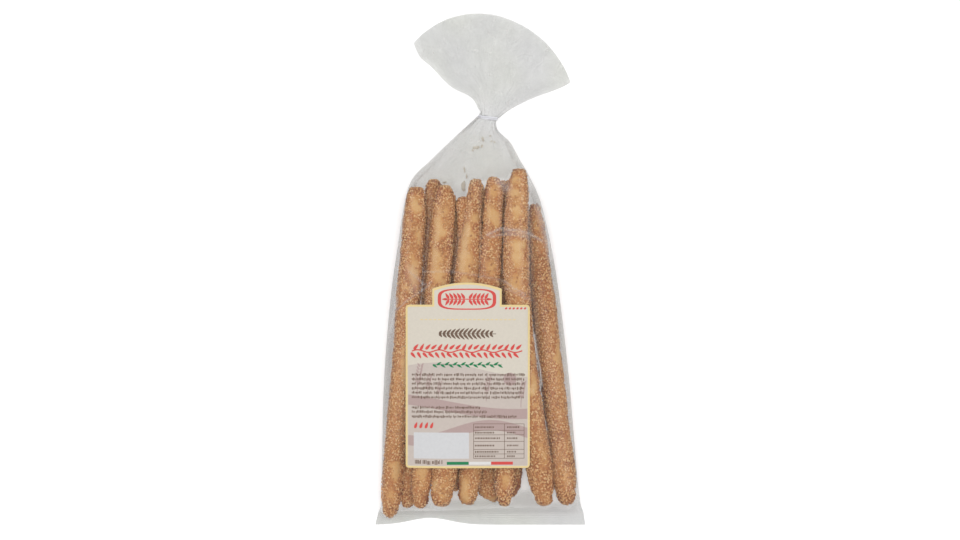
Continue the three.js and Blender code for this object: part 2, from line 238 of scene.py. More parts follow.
class NodeSheet:
    """The node tree of one material, with short calls that add nodes and join them."""

    def __init__(self, name: str) -> None:
        """Starts an empty tree with its output.

        Args:
            name: The material's name.
        """
        self.material = bpy.data.materials.new(name)
        self.material.use_nodes = True
        self.tree = self.material.node_tree
        self.tree.nodes.clear()
        self.output = self.add("ShaderNodeOutputMaterial")

    def add(self, kind: str, **settings: object) -> Node:
        """Adds a node and sets its options.

        Args:
            kind: The node's type.
            settings: Its options by name.

        Returns:
            The node.
        """
        node = self.tree.nodes.new(kind)
        for key, value in settings.items():
            setattr(node, key, value)
        return node

    def join(self, source: Socket, target: Socket) -> None:
        """Joins an output to an input."""
        self.tree.links.new(source, target)

    def place(self) -> Socket:
        """The point on the object, in metres."""
        return self.add("ShaderNodeTexCoord").outputs["Object"]

    def grain(self, size: float, detail: float = 3.0, rough: float = 0.55) -> Socket:
        """Noise with grains of about a size, from 0 to 1.

        Args:
            size: Size of the largest grains.
            detail: How many finer layers are added.
            rough: How strong the finer layers are.

        Returns:
            The noise's value.
        """
        node = self.add("ShaderNodeTexNoise")
        node.inputs["Scale"].default_value = 1.0 / size
        node.inputs["Detail"].default_value = detail
        node.inputs["Roughness"].default_value = rough
        self.join(self.place(), node.inputs["Vector"])
        return node.outputs["Fac"]

    def value_of(self, name: str) -> Socket:
        """A number that the mesh stores at each vertex."""
        return self.add("ShaderNodeAttribute", attribute_name=name).outputs["Fac"]

    def reckon(self, operation: str, first: object, second: object = 0.0) -> Socket:
        """Works out one number from two.

        Args:
            operation: Name of the sum, as the Math node has it.
            first: An output or a plain number.
            second: An output or a plain number.

        Returns:
            The result.
        """
        node = self.add("ShaderNodeMath", operation=operation)
        for entry, given in zip(node.inputs, (first, second)):
            if isinstance(given, (int, float)):
                entry.default_value = given
            else:
                self.join(given, entry)
        return node.outputs["Value"]

    def ramp(self, factor: Socket, stops: list) -> Socket:
        """A colour that runs through given stops as the factor rises.

        Args:
            factor: The number that picks the colour.
            stops: Pairs of a place from 0 to 1 and a colour.

        Returns:
            The colour.
        """
        node = self.add("ShaderNodeValToRGB")
        elements = node.color_ramp.elements
        while len(elements) < len(stops):
            elements.new(1.0)
        for element, (place, colour) in zip(elements, stops):
            element.position = place
            element.color = (*colour, 1.0)
        self.join(factor, node.inputs["Fac"])
        return node.outputs["Color"]

    def bump(self, height: Socket, depth: float) -> Socket:
        """A normal tilted by a height field.

        Args:
            height: The field, from 0 to 1.
            depth: What a rise of 1 stands for.

        Returns:
            The normal.
        """
        node = self.add("ShaderNodeBump")
        node.inputs["Distance"].default_value = depth
        self.join(height, node.inputs["Height"])
        return node.outputs["Normal"]

    def plain(self, kind: str, colour: Colour) -> Node:
        """Adds a shader of one colour.

        Args:
            kind: The shader node's type.
            colour: Its colour.

        Returns:
            The shader's node.
        """
        shader = self.add(kind)
        shader.inputs["Color"].default_value = (*colour, 1.0)
        return shader

    def solid(self, roughness: float, gloss: float, colour: Socket) -> Node:
        """Adds the principled shader as the surface.

        Args:
            roughness: Its roughness.
            gloss: Its specular level.
            colour: Its base colour.

        Returns:
            The shader's node.
        """
        shader = self.add("ShaderNodeBsdfPrincipled")
        shader.inputs["Roughness"].default_value = roughness
        shader.inputs["Specular IOR Level"].default_value = gloss
        self.join(colour, shader.inputs["Base Color"])
        self.join(shader.outputs["BSDF"], self.output.inputs["Surface"])
        return shader

    def relief(self, shader: Node, height: Socket, depth: float) -> Material:
        """Roughens a shader by a height field, which ends the sheet, and returns the material."""
        self.join(self.bump(height, depth), shader.inputs["Normal"])
        return self.material


@dataclass(frozen=True)
class CrustFinish:
    """Baked crust: gold where the dough is bare, browner where the stored bake value is higher;
    that value also carries painted shade on the sticks' undersides.
    """

    name: str = "crust"
    pale: Colour = (0.765, 0.49, 0.232)
    gold: Colour = (0.69, 0.382, 0.152)
    brown: Colour = (0.53, 0.218, 0.085)
    dark: Colour = (0.20, 0.060, 0.030)
    patch_size: float = 9 * MM
    patch_strength: float = 0.8
    pore_size: float = 1.1 * MM
    pore_strength: float = 0.75
    pore_depth: float = 0.35 * MM
    roughness: float = 0.72
    gloss: float = 0.28

    def build(self) -> Material:
        """Builds the material.

        Returns:
            The material.
        """
        sheet = NodeSheet(self.name)
        patches = sheet.reckon("SUBTRACT", sheet.grain(self.patch_size), 0.5)
        patches = sheet.reckon("MULTIPLY", patches, self.patch_strength)
        pores = sheet.grain(self.pore_size, detail=4.0, rough=0.65)
        specks = sheet.reckon("SUBTRACT", 0.5, pores)
        specks = sheet.reckon("MULTIPLY", specks, self.pore_strength)
        baked = sheet.reckon("ADD", sheet.value_of("bake_and_shade"), sheet.reckon("ADD", patches, specks))
        stops = [(0.05, self.pale), (0.35, self.gold), (0.65, self.brown), (1.0, self.dark)]
        shader = sheet.solid(self.roughness, self.gloss, sheet.ramp(baked, stops))
        return sheet.relief(shader, pores, self.pore_depth)


class SeedKind(Enum):
    """The colours that the sesame seeds have baked to."""

    IVORY = "ivory"
    TAN = "tan"
    HONEY = "honey"
    TOASTED = "toasted"


@dataclass(frozen=True)
class SeedFinish:
    """A sesame seed's skin, which runs from a light to a deep tone from seed to seed, and on
    towards its shade colour, painted shade for seeds that face down or aside.
    """

    kind: SeedKind
    light: Colour
    deep: Colour
    shade: Colour
    speck_size: float = 0.5 * MM
    speck_strength: float = 0.4
    speck_depth: float = 0.05 * MM
    roughness: float = 0.5
    gloss: float = 0.4

    def build(self) -> Material:
        """Builds the material.

        Returns:
            The material.
        """
        sheet = NodeSheet(f"sesame_{self.kind.value}")
        specks = sheet.grain(self.speck_size)
        speckle = sheet.reckon("MULTIPLY", specks, self.speck_strength)
        tone_and_shade = sheet.reckon("ADD", sheet.value_of("tone_and_shade"), speckle)
        tone_and_shade = sheet.reckon("SUBTRACT", tone_and_shade, self.speck_strength / 2)
        stops = [(0.0, self.light), (0.6, self.deep), (1.0, self.shade)]
        shader = sheet.solid(self.roughness, self.gloss, sheet.ramp(tone_and_shade, stops))
        return sheet.relief(shader, specks, self.speck_depth)


FLAKE_FINISH = CrustFinish(
    "flake", (0.80, 0.72, 0.60), (0.72, 0.62, 0.50), (0.62, 0.50, 0.39), (0.45, 0.34, 0.25)
)
SEED_FINISHES = (
    SeedFinish(SeedKind.IVORY, (0.89, 0.61, 0.32), (0.80, 0.485, 0.228), (0.42, 0.175, 0.083)),
    SeedFinish(SeedKind.TAN, (0.82, 0.495, 0.235), (0.70, 0.385, 0.165), (0.34, 0.132, 0.064)),
    SeedFinish(SeedKind.HONEY, (0.745, 0.40, 0.168), (0.61, 0.302, 0.120), (0.28, 0.102, 0.049)),
    SeedFinish(SeedKind.TOASTED, (0.60, 0.285, 0.112), (0.48, 0.210, 0.085), (0.23, 0.074, 0.037)),
)


@dataclass(frozen=True)
class FilmFinish:
    """Clear film: what isn't haze, painted sheen or gloss lets the light straight through."""

    cool_veil: Colour = (0.415, 0.418, 0.425)
    warm_veil: Colour = (0.42, 0.432, 0.385)
    painted_sheen: Colour = (0.86, 0.82, 0.80)
    tint_size: float = 45 * MM
    veil_through: float = 0.4
    cloud_size: float = 9 * MM
    cloudiness: float = 0.14
    clear: Colour = (0.985, 0.985, 0.98)
    gloss_roughness: float = 0.16
    most_gloss: float = 0.3
    index: float = 1.42
    wrinkle_size: float = 7 * MM
    wrinkle_depth: float = 0.3 * MM

    def build(self) -> Material:
        """Builds the material.

        Returns:
            The material.
        """
        sheet = NodeSheet("clear_film")
        stops = [(0.4, self.cool_veil), (0.6, self.warm_veil)]
        tint = sheet.ramp(sheet.grain(self.tint_size, detail=1.0), stops)
        front, through = map(sheet.add, ("ShaderNodeBsdfDiffuse", "ShaderNodeBsdfTranslucent"))
        for shader in (front, through):
            sheet.join(tint, shader.inputs["Color"])
        veil = self.mix(sheet, self.veil_through, front, through)
        cloud = sheet.reckon("MULTIPLY", sheet.grain(self.cloud_size), self.cloudiness)
        cloud = sheet.reckon("ADD", cloud, 1 - self.cloudiness / 2)
        haze = sheet.reckon("MULTIPLY", sheet.value_of("haze"), cloud)
        clear = sheet.plain("ShaderNodeBsdfTransparent", self.clear)
        # Painted sheen: a white diffuse layer that stands for highlights on creases and crinkles.
        sheen_white = sheet.plain("ShaderNodeBsdfDiffuse", self.painted_sheen)
        hazy = self.mix(sheet, haze, clear, veil)
        body = self.mix(sheet, sheet.value_of("painted_sheen"), hazy, sheen_white)
        gloss = sheet.add("ShaderNodeBsdfGlossy")
        gloss.inputs["Roughness"].default_value = self.gloss_roughness
        fresnel = sheet.add("ShaderNodeFresnel")
        fresnel.inputs["IOR"].default_value = self.index
        wrinkles = sheet.bump(sheet.grain(self.wrinkle_size, detail=2.0), self.wrinkle_depth)
        for shader in (gloss, fresnel):
            sheet.join(wrinkles, shader.inputs["Normal"])
        share = sheet.reckon("MINIMUM", fresnel.outputs["Fac"], self.most_gloss)
        skin = self.mix(sheet, share, body, gloss)
        sheet.join(skin.outputs["Shader"], sheet.output.inputs["Surface"])
        return sheet.material

    @staticmethod
    def mix(sheet: NodeSheet, share: object, first: Node, second: Node) -> Node:
        """Mixes two shaders.

        Args:
            sheet: The tree.
            share: How much of the second shader shows, as a number or an output.
            first: The first shader's node.
            second: The second shader's node.

        Returns:
            The mixing node.
        """
        node = sheet.add("ShaderNodeMixShader")
        if isinstance(share, float):
            node.inputs["Fac"].default_value = share
        else:
            sheet.join(share, node.inputs["Fac"])
        sheet.join(first.outputs[0], node.inputs[1])
        sheet.join(second.outputs[0], node.inputs[2])
        return node


@dataclass(frozen=True)
class PaperFinish:
    """Coated sticker paper or the ink printed on it, with a faint fibre."""

    name: str
    colour: Colour
    roughness: float = 0.55
    gloss: float = 0.35
    fibre_size: float = 1.6 * MM
    fibre_depth: float = 0.02 * MM
    unevenness: float = 0.025

    def build(self) -> Material:
        """Builds the material.

        Returns:
            The material.
        """
        sheet = NodeSheet(self.name)
        fibre = sheet.grain(self.fibre_size)
        lighter = tuple(min(1.0, c * (1 + self.unevenness)) for c in self.colour)
        darker = tuple(c * (1 - self.unevenness) for c in self.colour)
        colour = sheet.ramp(fibre, [(0.3, darker), (0.7, lighter)])
        shader = sheet.solid(self.roughness, self.gloss, colour)
        return sheet.relief(shader, fibre, self.fibre_depth)


@dataclass(frozen=True)
class CordFinish:
    """Smooth off-white plastic cord with a faint lilac cast."""

    light: Colour = (0.84, 0.84, 0.88)
    shade: Colour = (0.78, 0.78, 0.83)
    roughness: float = 0.3
    gloss: float = 0.5
    strand_size: float = 0.8 * MM
    strand_depth: float = 0.05 * MM

    def build(self) -> Material:
        """Builds the material.

        Returns:
            The material.
        """
        sheet = NodeSheet("tie_cord")
        strands = sheet.grain(self.strand_size, detail=2.0)
        colour = sheet.ramp(strands, [(0.3, self.shade), (0.7, self.light)])
        shader = sheet.solid(self.roughness, self.gloss, colour)
        return sheet.relief(shader, strands, self.strand_depth)


@dataclass(frozen=True)
class FloorFinish:
    """Plain white studio floor."""

    light: Colour = (0.93, 0.93, 0.93)
    shade: Colour = (0.92, 0.92, 0.92)
    roughness: float = 0.9
    gloss: float = 0.1
    grain_size: float = 0.3
    glow: float = 0.3

    def build(self) -> Material:
        """Builds the material.

        Returns:
            The material.
        """
        sheet = NodeSheet("studio_floor")
        colour = sheet.ramp(sheet.grain(self.grain_size), [(0.3, self.shade), (0.7, self.light)])
        shader = sheet.solid(self.roughness, self.gloss, colour)
        shader.inputs["Emission Color"].default_value = (1.0, 1.0, 1.0, 1.0)
        shader.inputs["Emission Strength"].default_value = self.glow
        return sheet.material


# ---- The bag's outline ------------------------------------------------------------------------


@dataclass(frozen=True)
class Section:
    """One cross section of the bag, in millimetres of its plan.

    left and right are its ends, bow is how far its middle arches towards the mouth, side is the
    height of its ends, low and high its underside and top, and flat the level share below.
    """

    left: Point2
    right: Point2
    bow: float
    side: float
    low: float
    high: float
    flat: float


SECTIONS = (
    Section((-67.4, -164.6), (67.7, -164.6), 0, 0.9, 0.3, 1.5, 0.9),
    Section((-65.4, -156.6), (66.6, -156.6), 0, 1.2, 0.2, 2.2, 0.9),
    Section((-63.4, -149.5), (64.4, -149.5), 0, 6, 0, 12, 0.8),
    Section((-62.9, -128.0), (61.9, -128.0), 0, 12, 0, 30, 0.72),
    Section((-61.4, -70.0), (57.0, -70.0), 0, 14, 0, 33, 0.72),
    Section((-57.4, -20.0), (51.2, -20.0), 0, 14, 0, 33, 0.72),
    Section((-53.1, 12.0), (46.1, 12.0), 0, 14, 0, 33, 0.7),
    Section((-48.4, 42.0), (39.2, 42.0), 0, 14, 0, 33, 0.65),
    Section((-43.2, 58.0), (32.4, 58.0), 0, 13, 0, 30, 0.6),
    Section((-31.3, 70.0), (25.5, 70.0), 0, 12, 0.3, 25, 0.5),
    Section((-18.6, 82.5), (19.3, 81.4), 0, 10.5, 1.2, 19, 0.3),
    Section((-8.2, 92.2), (12.0, 88.8), 0.5, 9.3, 2.4, 15.5, 0.1),
    Section((-0.4, 99.8), (10.7, 94.6), 0, 8.8, 3.1, 14.5, 0),
    Section((-1.4, 103.0), (13.9, 97.8), 1.5, 8.4, 2.9, 14.3, 0),
    Section((-6.2, 110.4), (22.6, 104.0), 7, 7, 2, 14, 0.1),
    Section((-18.6, 117.0), (34.8, 110.0), 17, 4.6, 0.8, 13, 0.2),
    Section((-31.2, 129.8), (47.2, 114.6), 25, 2.6, 0.2, 10.5, 0.4),
    Section((-38.9, 136.6), (53.1, 117.0), 27.8, 2, 0.2, 9, 0.5),
    Section((-42.8, 145.4), (58.3, 120.0), 30, 1.4, 0.2, 8, 0.6),
)
SEAL_SECTIONS = 2
SHOULDER_STATION = 8
BODY_END_STATION = 10
NECK_STATION = 12
SEAL_EDGE_Y = -164.6 * MM
SEAL_INNER_Y = -158.0 * MM


@dataclass
class BagRows:
    """Cross rows of the bag, at chosen stations between its sections."""

    stations: Array
    left: Array = field(init=False)
    right: Array = field(init=False)
    bow: Array = field(init=False)
    side: Array = field(init=False)
    low: Array = field(init=False)
    high: Array = field(init=False)
    flat: Array = field(init=False)
    wave_rise: float = 4.4 * MM
    wave_x: float = -32 * MM
    wave_width: float = 18 * MM
    wave_reach: float = 12 * MM
    fan_skew: float = 0.1
    least_bow: float = 0.05 * MM

    def __post_init__(self) -> None:
        """Reads the rails and heights at each station."""
        left = np.array([(*s.left, s.bow) for s in SECTIONS]) * MM
        right = np.array([(*s.right, s.bow) for s in SECTIONS]) * MM
        rail = smooth_rail(left, self.stations)
        self.left = rail[:, :2]
        self.bow = np.maximum(0.0, rail[:, 2])
        self.right = smooth_rail(right, self.stations)[:, :2]
        counts = np.arange(len(SECTIONS))
        for name in ("side", "low", "high"):
            values = [getattr(s, name) * MM for s in SECTIONS]
            setattr(self, name, np.interp(self.stations, counts, values))
        self.flat = np.interp(self.stations, counts, [s.flat for s in SECTIONS])

    def plan(self, across: Array) -> Array:
        """Points of every row in plan.

        Args:
            across: Places along a row, from -1 at its left end to 1 at its right.

        Returns:
            An array of rows by places by two coordinates.
        """
        chord = self.right - self.left
        half = np.linalg.norm(chord, axis=1) / 2
        normal = np.stack([-chord[:, 1], chord[:, 0]], axis=1) / (2 * half[:, None])
        bow = np.maximum(self.bow, 1e-6)
        radius = (half**2 + bow**2) / (2 * bow)
        lean = np.arcsin(np.clip(half / radius, -1, 1))
        sweep = np.where(bow > half, math.pi - lean, lean)[:, None]
        curved = (self.bow > self.least_bow)[:, None]
        place = across[None, :]
        along = np.where(curved, (radius / half)[:, None] * np.sin(place * sweep), place)
        rise = radius[:, None] * np.cos(place * sweep) - (radius - bow)[:, None]
        rise = np.where(curved, rise, 0) * (1 - self.fan_skew * place)
        points = blend(self.left[:, None, :], self.right[:, None, :], (along[..., None] + 1) / 2)
        points = points + normal[:, None, :] * rise[..., None]
        fade = 1 - smooth_step(points[..., 1], SEAL_EDGE_Y, SEAL_EDGE_Y + self.wave_reach)
        offset = (points[..., 0] - self.wave_x) / self.wave_width
        points[..., 1] += self.wave_rise * fade * np.exp(-offset * offset)
        return points


def plan_shift() -> Array:
    """How far the bag's plan has to move to lie where the frame's bag lies.

    Returns:
        The move along each axis.
    """
    stations = np.linspace(0, len(SECTIONS) - 1, 400)
    plan = BagRows(stations).plan(np.linspace(-1, 1, 61)).reshape(-1, 2)
    low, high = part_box("bag")
    middle = (np.array(low[:2]) + np.array(high[:2])) / 2
    return np.append(middle - (plan.min(axis=0) + plan.max(axis=0)) / 2, 0.0)


SHIFT = plan_shift()


# ---- The breadsticks --------------------------------------------------------------------------


@dataclass(frozen=True)
class Stick:
    """One breadstick: both ends of its axis in millimetres of the bag's plan, and its form.

    girths are pairs of a place from its lower end to its top and a thickness there as a share of
    the radius. bow is how far its middle lies aside, and bow_lean above 1 moves the bow upwards.
    slant is how far its lower end runs on at its right side, as a share of the radius.
    """

    name: str
    top: Point3
    end: Point3
    radius: float
    bow: float = 0.0
    bow_lean: float = 1.0
    arch: float = 0.0
    end_taper: float = 0.32
    browning_and_shade: float = 0.0
    coat: float = 1.0
    slant: float = 0.0
    girths: tuple = ((0.0, 1.0), (1.0, 1.0))

    def axis(self, share: Array) -> Array:
        """Points of the axis.

        Args:
            share: Shares of the way from its lower end to its top.

        Returns:
            The points, with their coordinates on the last axis.
        """
        share = np.asarray(share, float)
        leaning = np.clip(share, 0, 1) ** self.bow_lean
        ends = blend(np.array(self.end), np.array(self.top), share[..., None])
        ends[..., 0] += self.bow * 4 * leaning * (1 - leaning)
        ends[..., 2] += self.arch * 4 * share * (1 - share)
        return ends * MM

    def share_at(self, y: Array) -> Array:
        """Share of the way along the axis at a height in plan."""
        return (y / MM - self.end[1]) / (self.top[1] - self.end[1])

    def thickness(self, share: Array) -> Array:
        """The stick's radius.

        Args:
            share: Shares of the way along its axis.

        Returns:
            The radius at each.
        """
        places, sizes = (np.array(column) for column in zip(*self.girths))
        share = np.clip(share, 0, 1)
        index = np.clip(np.searchsorted(places, share, "right") - 1, 0, len(places) - 2)
        part = smooth_step((share - places[index]) / (places[index + 1] - places[index]), 0, 1)
        return self.radius * MM * blend(sizes[index], sizes[index + 1], part)


# browning darkens a stick's crust and seeds: real browning, and on the sticks that lie under the
# others it is set higher as painted shade.
STICKS = (
    Stick(
        "far_left", (-40.6, 52.2, 15.5), (-58.0, -159.4, 8.6), 7.3, bow=0.6, bow_lean=2, arch=3,
        end_taper=0.4, coat=0.95,
        girths=(
            (0, 0.88), (0.1, 0.9), (0.21, 0.96), (0.33, 0.9),
            (0.5, 0.92), (0.69, 1.05), (0.81, 1), (1, 0.94),
        ),
    ),
    Stick(
        "left", (-22.2, 53.1, 18.5), (-38.7, -152.8, 17.5), 7.0, bow=0.6, bow_lean=1.3, arch=2.2,
        end_taper=0.4,
        girths=((0, 0.86), (0.1, 0.9), (0.3, 0.98), (0.8, 1.02), (1, 0.96)),
    ),
    Stick(
        "mid_left", (-1.9, 57.0, 19.2), (-25.2, -151.2, 19.5), 7.4, bow=0.9, arch=2.6,
        end_taper=0.25,
        girths=(
            (0, 1.02), (0.15, 1.04), (0.3, 0.98), (0.5, 1),
            (0.72, 1.09), (0.8, 1.03), (0.89, 0.77), (1, 0.82),
        ),
    ),
    Stick(
        "middle", (9.0, 58.2, 28.0), (-8.8, -150.2, 17.0), 6.6, bow=2.9, end_taper=0.2, coat=0.9,
        girths=((0, 0.96), (0.15, 1.02), (0.6, 1), (0.76, 0.97), (0.86, 0.87), (1, 0.93)),
    ),
    Stick(
        "mid_right", (25.2, 63.4, 26.5), (41.6, -151.2, 11.5), 7.9, bow=-7.6, bow_lean=1.25,
        arch=5, coat=0.88,
        girths=((0, 0.92), (0.12, 1.06), (0.25, 1.02), (0.75, 1.02), (0.9, 0.9), (1, 0.82)),
    ),
    Stick(
        "right", (34.8, 41.2, 17.0), (55.9, -151.0, 8.7), 7.6, bow=-1.2, bow_lean=1.6, arch=-2.4,
        end_taper=0.35, browning_and_shade=0.04,
        girths=(
            (0, 0.98), (0.12, 1), (0.25, 0.9), (0.36, 0.96),
            (0.5, 0.98), (0.66, 1.01), (0.8, 0.84), (1, 0.64),
        ),
    ),
    Stick("low_right", (15.7, 56.3, 12.5), (15.8, -151.2, 19.0), 6.3, arch=-0.4, browning_and_shade=0.08),
    Stick(
        "low_left", (-29.6, 57.2, 7.3), (-47.4, -152.8, 7.0), 6.3, bow=5.5, browning_and_shade=0.06,
        coat=0.9,
    ),
    Stick(
        "under_left", (-13.6, 43.5, 8.6), (-15.6, -142.1, 7.3), 6.2, arch=-0.6, browning_and_shade=0.06,
        girths=((0, 1), (0.8, 1), (1, 0.95)),
    ),
    Stick(
        "twin_left", (-10.8, 45.8, 18.0), (-8.0, 4.0, 16.4), 4.8, bow=-0.5, end_taper=0.4,
        coat=1.15,
        girths=((0, 0.8), (0.45, 0.96), (0.8, 1), (1, 0.94)),
    ),
    Stick(
        "under_middle", (1.9, 50.6, 7.8), (4.8, -147.4, 7.8), 6.9, end_taper=0.12, browning_and_shade=0.16,
        slant=0.5,
        girths=((0, 1), (0.2, 0.96), (1, 0.94)),
    ),
    Stick(
        "under_right", (27.5, 23.7, 7.2), (20.0, -146.0, 7.2), 6.3, bow=0.6, browning_and_shade=0.16,
        coat=0.4,
    ),
)

# Spots where few seeds hold: the middle and the half sizes in millimetres of plan, and how bare.
BARE_PATCHES: dict[str, tuple] = {
    "far_left": (
        (-41.6, 40.3, 3.4, 7.0, 0.9), (-39.0, 18.6, 2.2, 9.0, 0.7), (-42.6, -3.9, 4.2, 11.0, 0.9),
        (-48.6, -65.9, 2.4, 15.0, 0.8), (-53.8, -128.6, 3.6, 7.5, 0.75),
        (-56.6, -144.0, 3.0, 5.5, 0.5),
    ),
    "left": (
        (-23.7, 35.8, 3.6, 3.8, 0.6), (-26.9, 25.6, 4.4, 6.4, 0.9), (-28.8, 9.0, 4.0, 6.2, 0.85),
        (-27.5, -3.2, 5.4, 7.0, 0.85), (-35.8, -130.6, 3.4, 4.0, 0.8),
    ),
    "mid_left": (
        (-3.2, 33.3, 3.0, 5.0, 0.85), (-8.3, 23.7, 4.4, 7.4, 0.95), (-9.6, 5.8, 5.4, 10.0, 0.92),
        (-10.2, -7.4, 4.8, 5.0, 0.85), (-28.8, -137.6, 2.4, 3.4, 0.8),
        (-23.7, -145.3, 3.6, 3.8, 0.6),
    ),
    "middle": (
        (8.3, 48.6, 3.0, 3.4, 0.8), (9.0, 33.3, 3.6, 6.0, 0.85), (7.7, 1.9, 5.0, 7.0, 0.4),
        (-9.6, -138.9, 3.2, 6.2, 0.9), (-9.0, -146.8, 3.4, 3.0, 0.8),
    ),
    "mid_right": (
        (21.8, 57.0, 2.8, 4.2, 0.7), (21.1, 48.0, 3.0, 3.4, 0.8), (23.4, 36.0, 2.8, 6.4, 0.8),
        (23.7, 9.6, 4.8, 10.0, 0.95), (23.0, -9.0, 5.0, 7.4, 0.65), (33.9, -73.6, 2.8, 10.5, 0.9),
        (34.6, -57.6, 2.2, 7.2, 0.75), (41.0, -119.0, 2.8, 8.0, 0.5),
    ),
    "right": (
        (37.1, 30.1, 2.6, 6.2, 0.55), (50.6, -55.0, 2.4, 10.5, 0.92), (54.4, -72.3, 1.8, 7.4, 0.75),
        (55.0, -135.0, 2.8, 5.4, 0.45),
    ),
    "low_right": ((16.0, -137.0, 3.0, 5.4, 0.75),),
    "under_middle": ((1.6, -144.6, 4.0, 1.7, 0.9), (6.2, -147.6, 4.2, 1.9, 0.9)),
}


def underside(upwards: Array) -> Array:
    """How far a part of the skin faces down or aside, from 0 on top to 1 below; it sets where shade
    is painted on crust and seeds.
    """
    return smooth_step(-upwards, -0.8, 0.5)


@dataclass
class Breadstick:
    """A baked stick: a lumpy round bar with blunt ends, and the skin that its seeds lie on."""

    stick: Stick
    seed: float
    around: int = 44
    step: float = 1.05 * MM
    top_taper: float = 0.2
    top_reach: float = 25 * MM
    end_reach: float = 19 * MM
    swell: float = 0.035
    swells: float = 5.0
    oval: float = 0.03
    lump: float = 0.5 * MM
    lump_size: float = 7 * MM
    dimple: float = 0.2 * MM
    dimple_size: float = 2.6 * MM
    ragged: float = 1.4 * MM
    ragged_size: float = 5 * MM
    ragged_reach: Point2 = (6 * MM, 16 * MM)
    settled_width: float = 3.5 * MM
    plain_bake: float = 0.6
    tip_bake: float = 0.1
    tip_bake_reach: Point2 = (5 * MM, 14 * MM)
    bare_bake: float = -0.46
    underside_painted_shade: float = 0.42
    uneven_bake: float = 0.14
    uneven_size: float = 16 * MM
    cap_bake: float = 0.85
    patch_raggedness: float = 0.85
    patch_grain: float = 5.5 * MM
    patch_fade: Point2 = (0.35, 1.3)
    profile_along: Array = field(init=False)
    profile_wide: Array = field(init=False)
    profile_arc: Array = field(init=False)

    def __post_init__(self) -> None:
        """Works out the outline from tip to tip, as places along the axis and widths."""
        ends = self.stick.axis(np.array([0.0, 1.0]))
        self.length = float(np.linalg.norm(ends[1] - ends[0]))
        widths = np.sin(np.linspace(0, math.pi / 2, 60))
        lower = self.tip_distance(widths, self.end_reach, self.stick.end_taper)
        upper = self.tip_distance(widths, self.top_reach, self.top_taper)
        between = np.linspace(self.end_reach, self.length - self.top_reach, 80)[1:-1]
        self.profile_along = np.concatenate([lower, between, self.length - upper[::-1]])
        rounding = np.concatenate([widths, np.ones(len(between)), widths[::-1]])
        self.profile_wide = rounding * self.stick.thickness(self.profile_along / self.length)
        steps = np.hypot(np.diff(self.profile_along), np.diff(self.profile_wide))
        self.profile_arc = np.concatenate([[0.0], np.cumsum(steps)])

    @staticmethod
    def tip_distance(widths: Array, reach: float, taper: float) -> Array:
        """How far from the tip the stick has each share of its full width."""
        return reach * (1 - (1 - np.clip(widths, 0, 1) ** (1 / taper)) ** (2 / 3))

    def skin(self, arc: Array, turn: Array) -> Array:
        """Points of the skin.

        Args:
            arc: How far along the outline each point is, from the lower tip.
            turn: Its angle round the axis, with a quarter turn at the top of the stick.

        Returns:
            The points, one row each.
        """
        along = np.interp(arc, self.profile_arc, self.profile_along)
        wide = np.interp(arc, self.profile_arc, self.profile_wide)
        share = along / self.length
        axis = self.stick.axis(share)
        ahead = unit(self.stick.axis(share + 0.01) - self.stick.axis(share - 0.01))
        sideways = unit(np.cross(ahead, [0.0, 0.0, 1.0]))
        upwards = np.cross(sideways, ahead)
        outwards = sideways * np.cos(turn)[..., None] + upwards * np.sin(turn)[..., None]
        line = [share * self.swells, np.full_like(share, self.seed), np.zeros_like(share)]
        fuller = 1 + self.swell * lumps(np.stack(line, axis=-1), 1.0, self.seed)
        fuller = fuller * (1 + self.oval * np.cos(2 * (turn - self.seed)))
        plain = axis + outwards * (wide * fuller)[..., None]
        broken = 1 - smooth_step(along, 2 * MM, self.end_reach)
        plain -= ahead * (self.stick.slant * wide * np.cos(turn) * broken)[..., None]
        relief = self.lump * lumps(plain, self.lump_size, self.seed)
        relief += self.dimple * lumps(plain, self.dimple_size, self.seed)
        from_tip = np.minimum(along, self.length - along)
        near_tip = 1 - smooth_step(from_tip, *self.ragged_reach)
        relief += self.ragged * near_tip * lumps(plain, self.ragged_size, self.seed + 7)
        settled = np.minimum(1.0, wide / self.settled_width)
        return plain + outwards * (relief * settled)[..., None]

    def bareness(self, points: Array, upwards: Array) -> Array:
        """How bare of seeds the skin is.

        Args:
            points: Points of the skin.
            upwards: How far it faces up at each, from -1 to 1.

        Returns:
            A number from 0 to 1 for each point.
        """
        bare = np.zeros(len(points))
        patches = BARE_PATCHES.get(self.stick.name, ())
        wavy = 1 + self.patch_raggedness * lumps(points, self.patch_grain, self.seed + 3)
        for x, y, half_x, half_y, bareness in patches:
            offset = (points[:, :2] - np.array([x, y]) * MM) / (np.array([half_x, half_y]) * MM)
            inside = 1 - smooth_step(np.linalg.norm(offset, axis=1) * wavy, *self.patch_fade)
            bare = np.maximum(bare, bareness * inside * (upwards > 0))
        return bare

    def build(self, finish: Material) -> Piece:
        """Builds the stick's mesh with its bake, which also holds painted shade, and dresses it.

        Args:
            finish: The crust.

        Returns:
            The piece.
        """
        count = int(self.profile_arc[-1] / self.step)
        arcs = np.linspace(0, self.profile_arc[-1], count + 2)[1:-1]
        turns = np.arange(self.around) * 2 * math.pi / self.around
        arc, turn = (grid.ravel() for grid in np.meshgrid(arcs, turns, indexing="ij"))
        skin = self.skin(arc, turn)
        tips = self.stick.axis(np.array([0.0, 1.0]))
        points = np.vstack([skin, tips]) + SHIFT
        piece = mesh_object(f"stick_{self.stick.name}", points, bar_faces(count, self.around))
        from_tip = np.minimum(arc, self.profile_arc[-1] - arc)
        tip = 1 - smooth_step(from_tip, *self.tip_bake_reach)
        bare = self.bareness(skin, np.sin(turn))
        bake_and_shade = self.plain_bake + self.stick.browning_and_shade + self.tip_bake * tip + self.bare_bake * bare
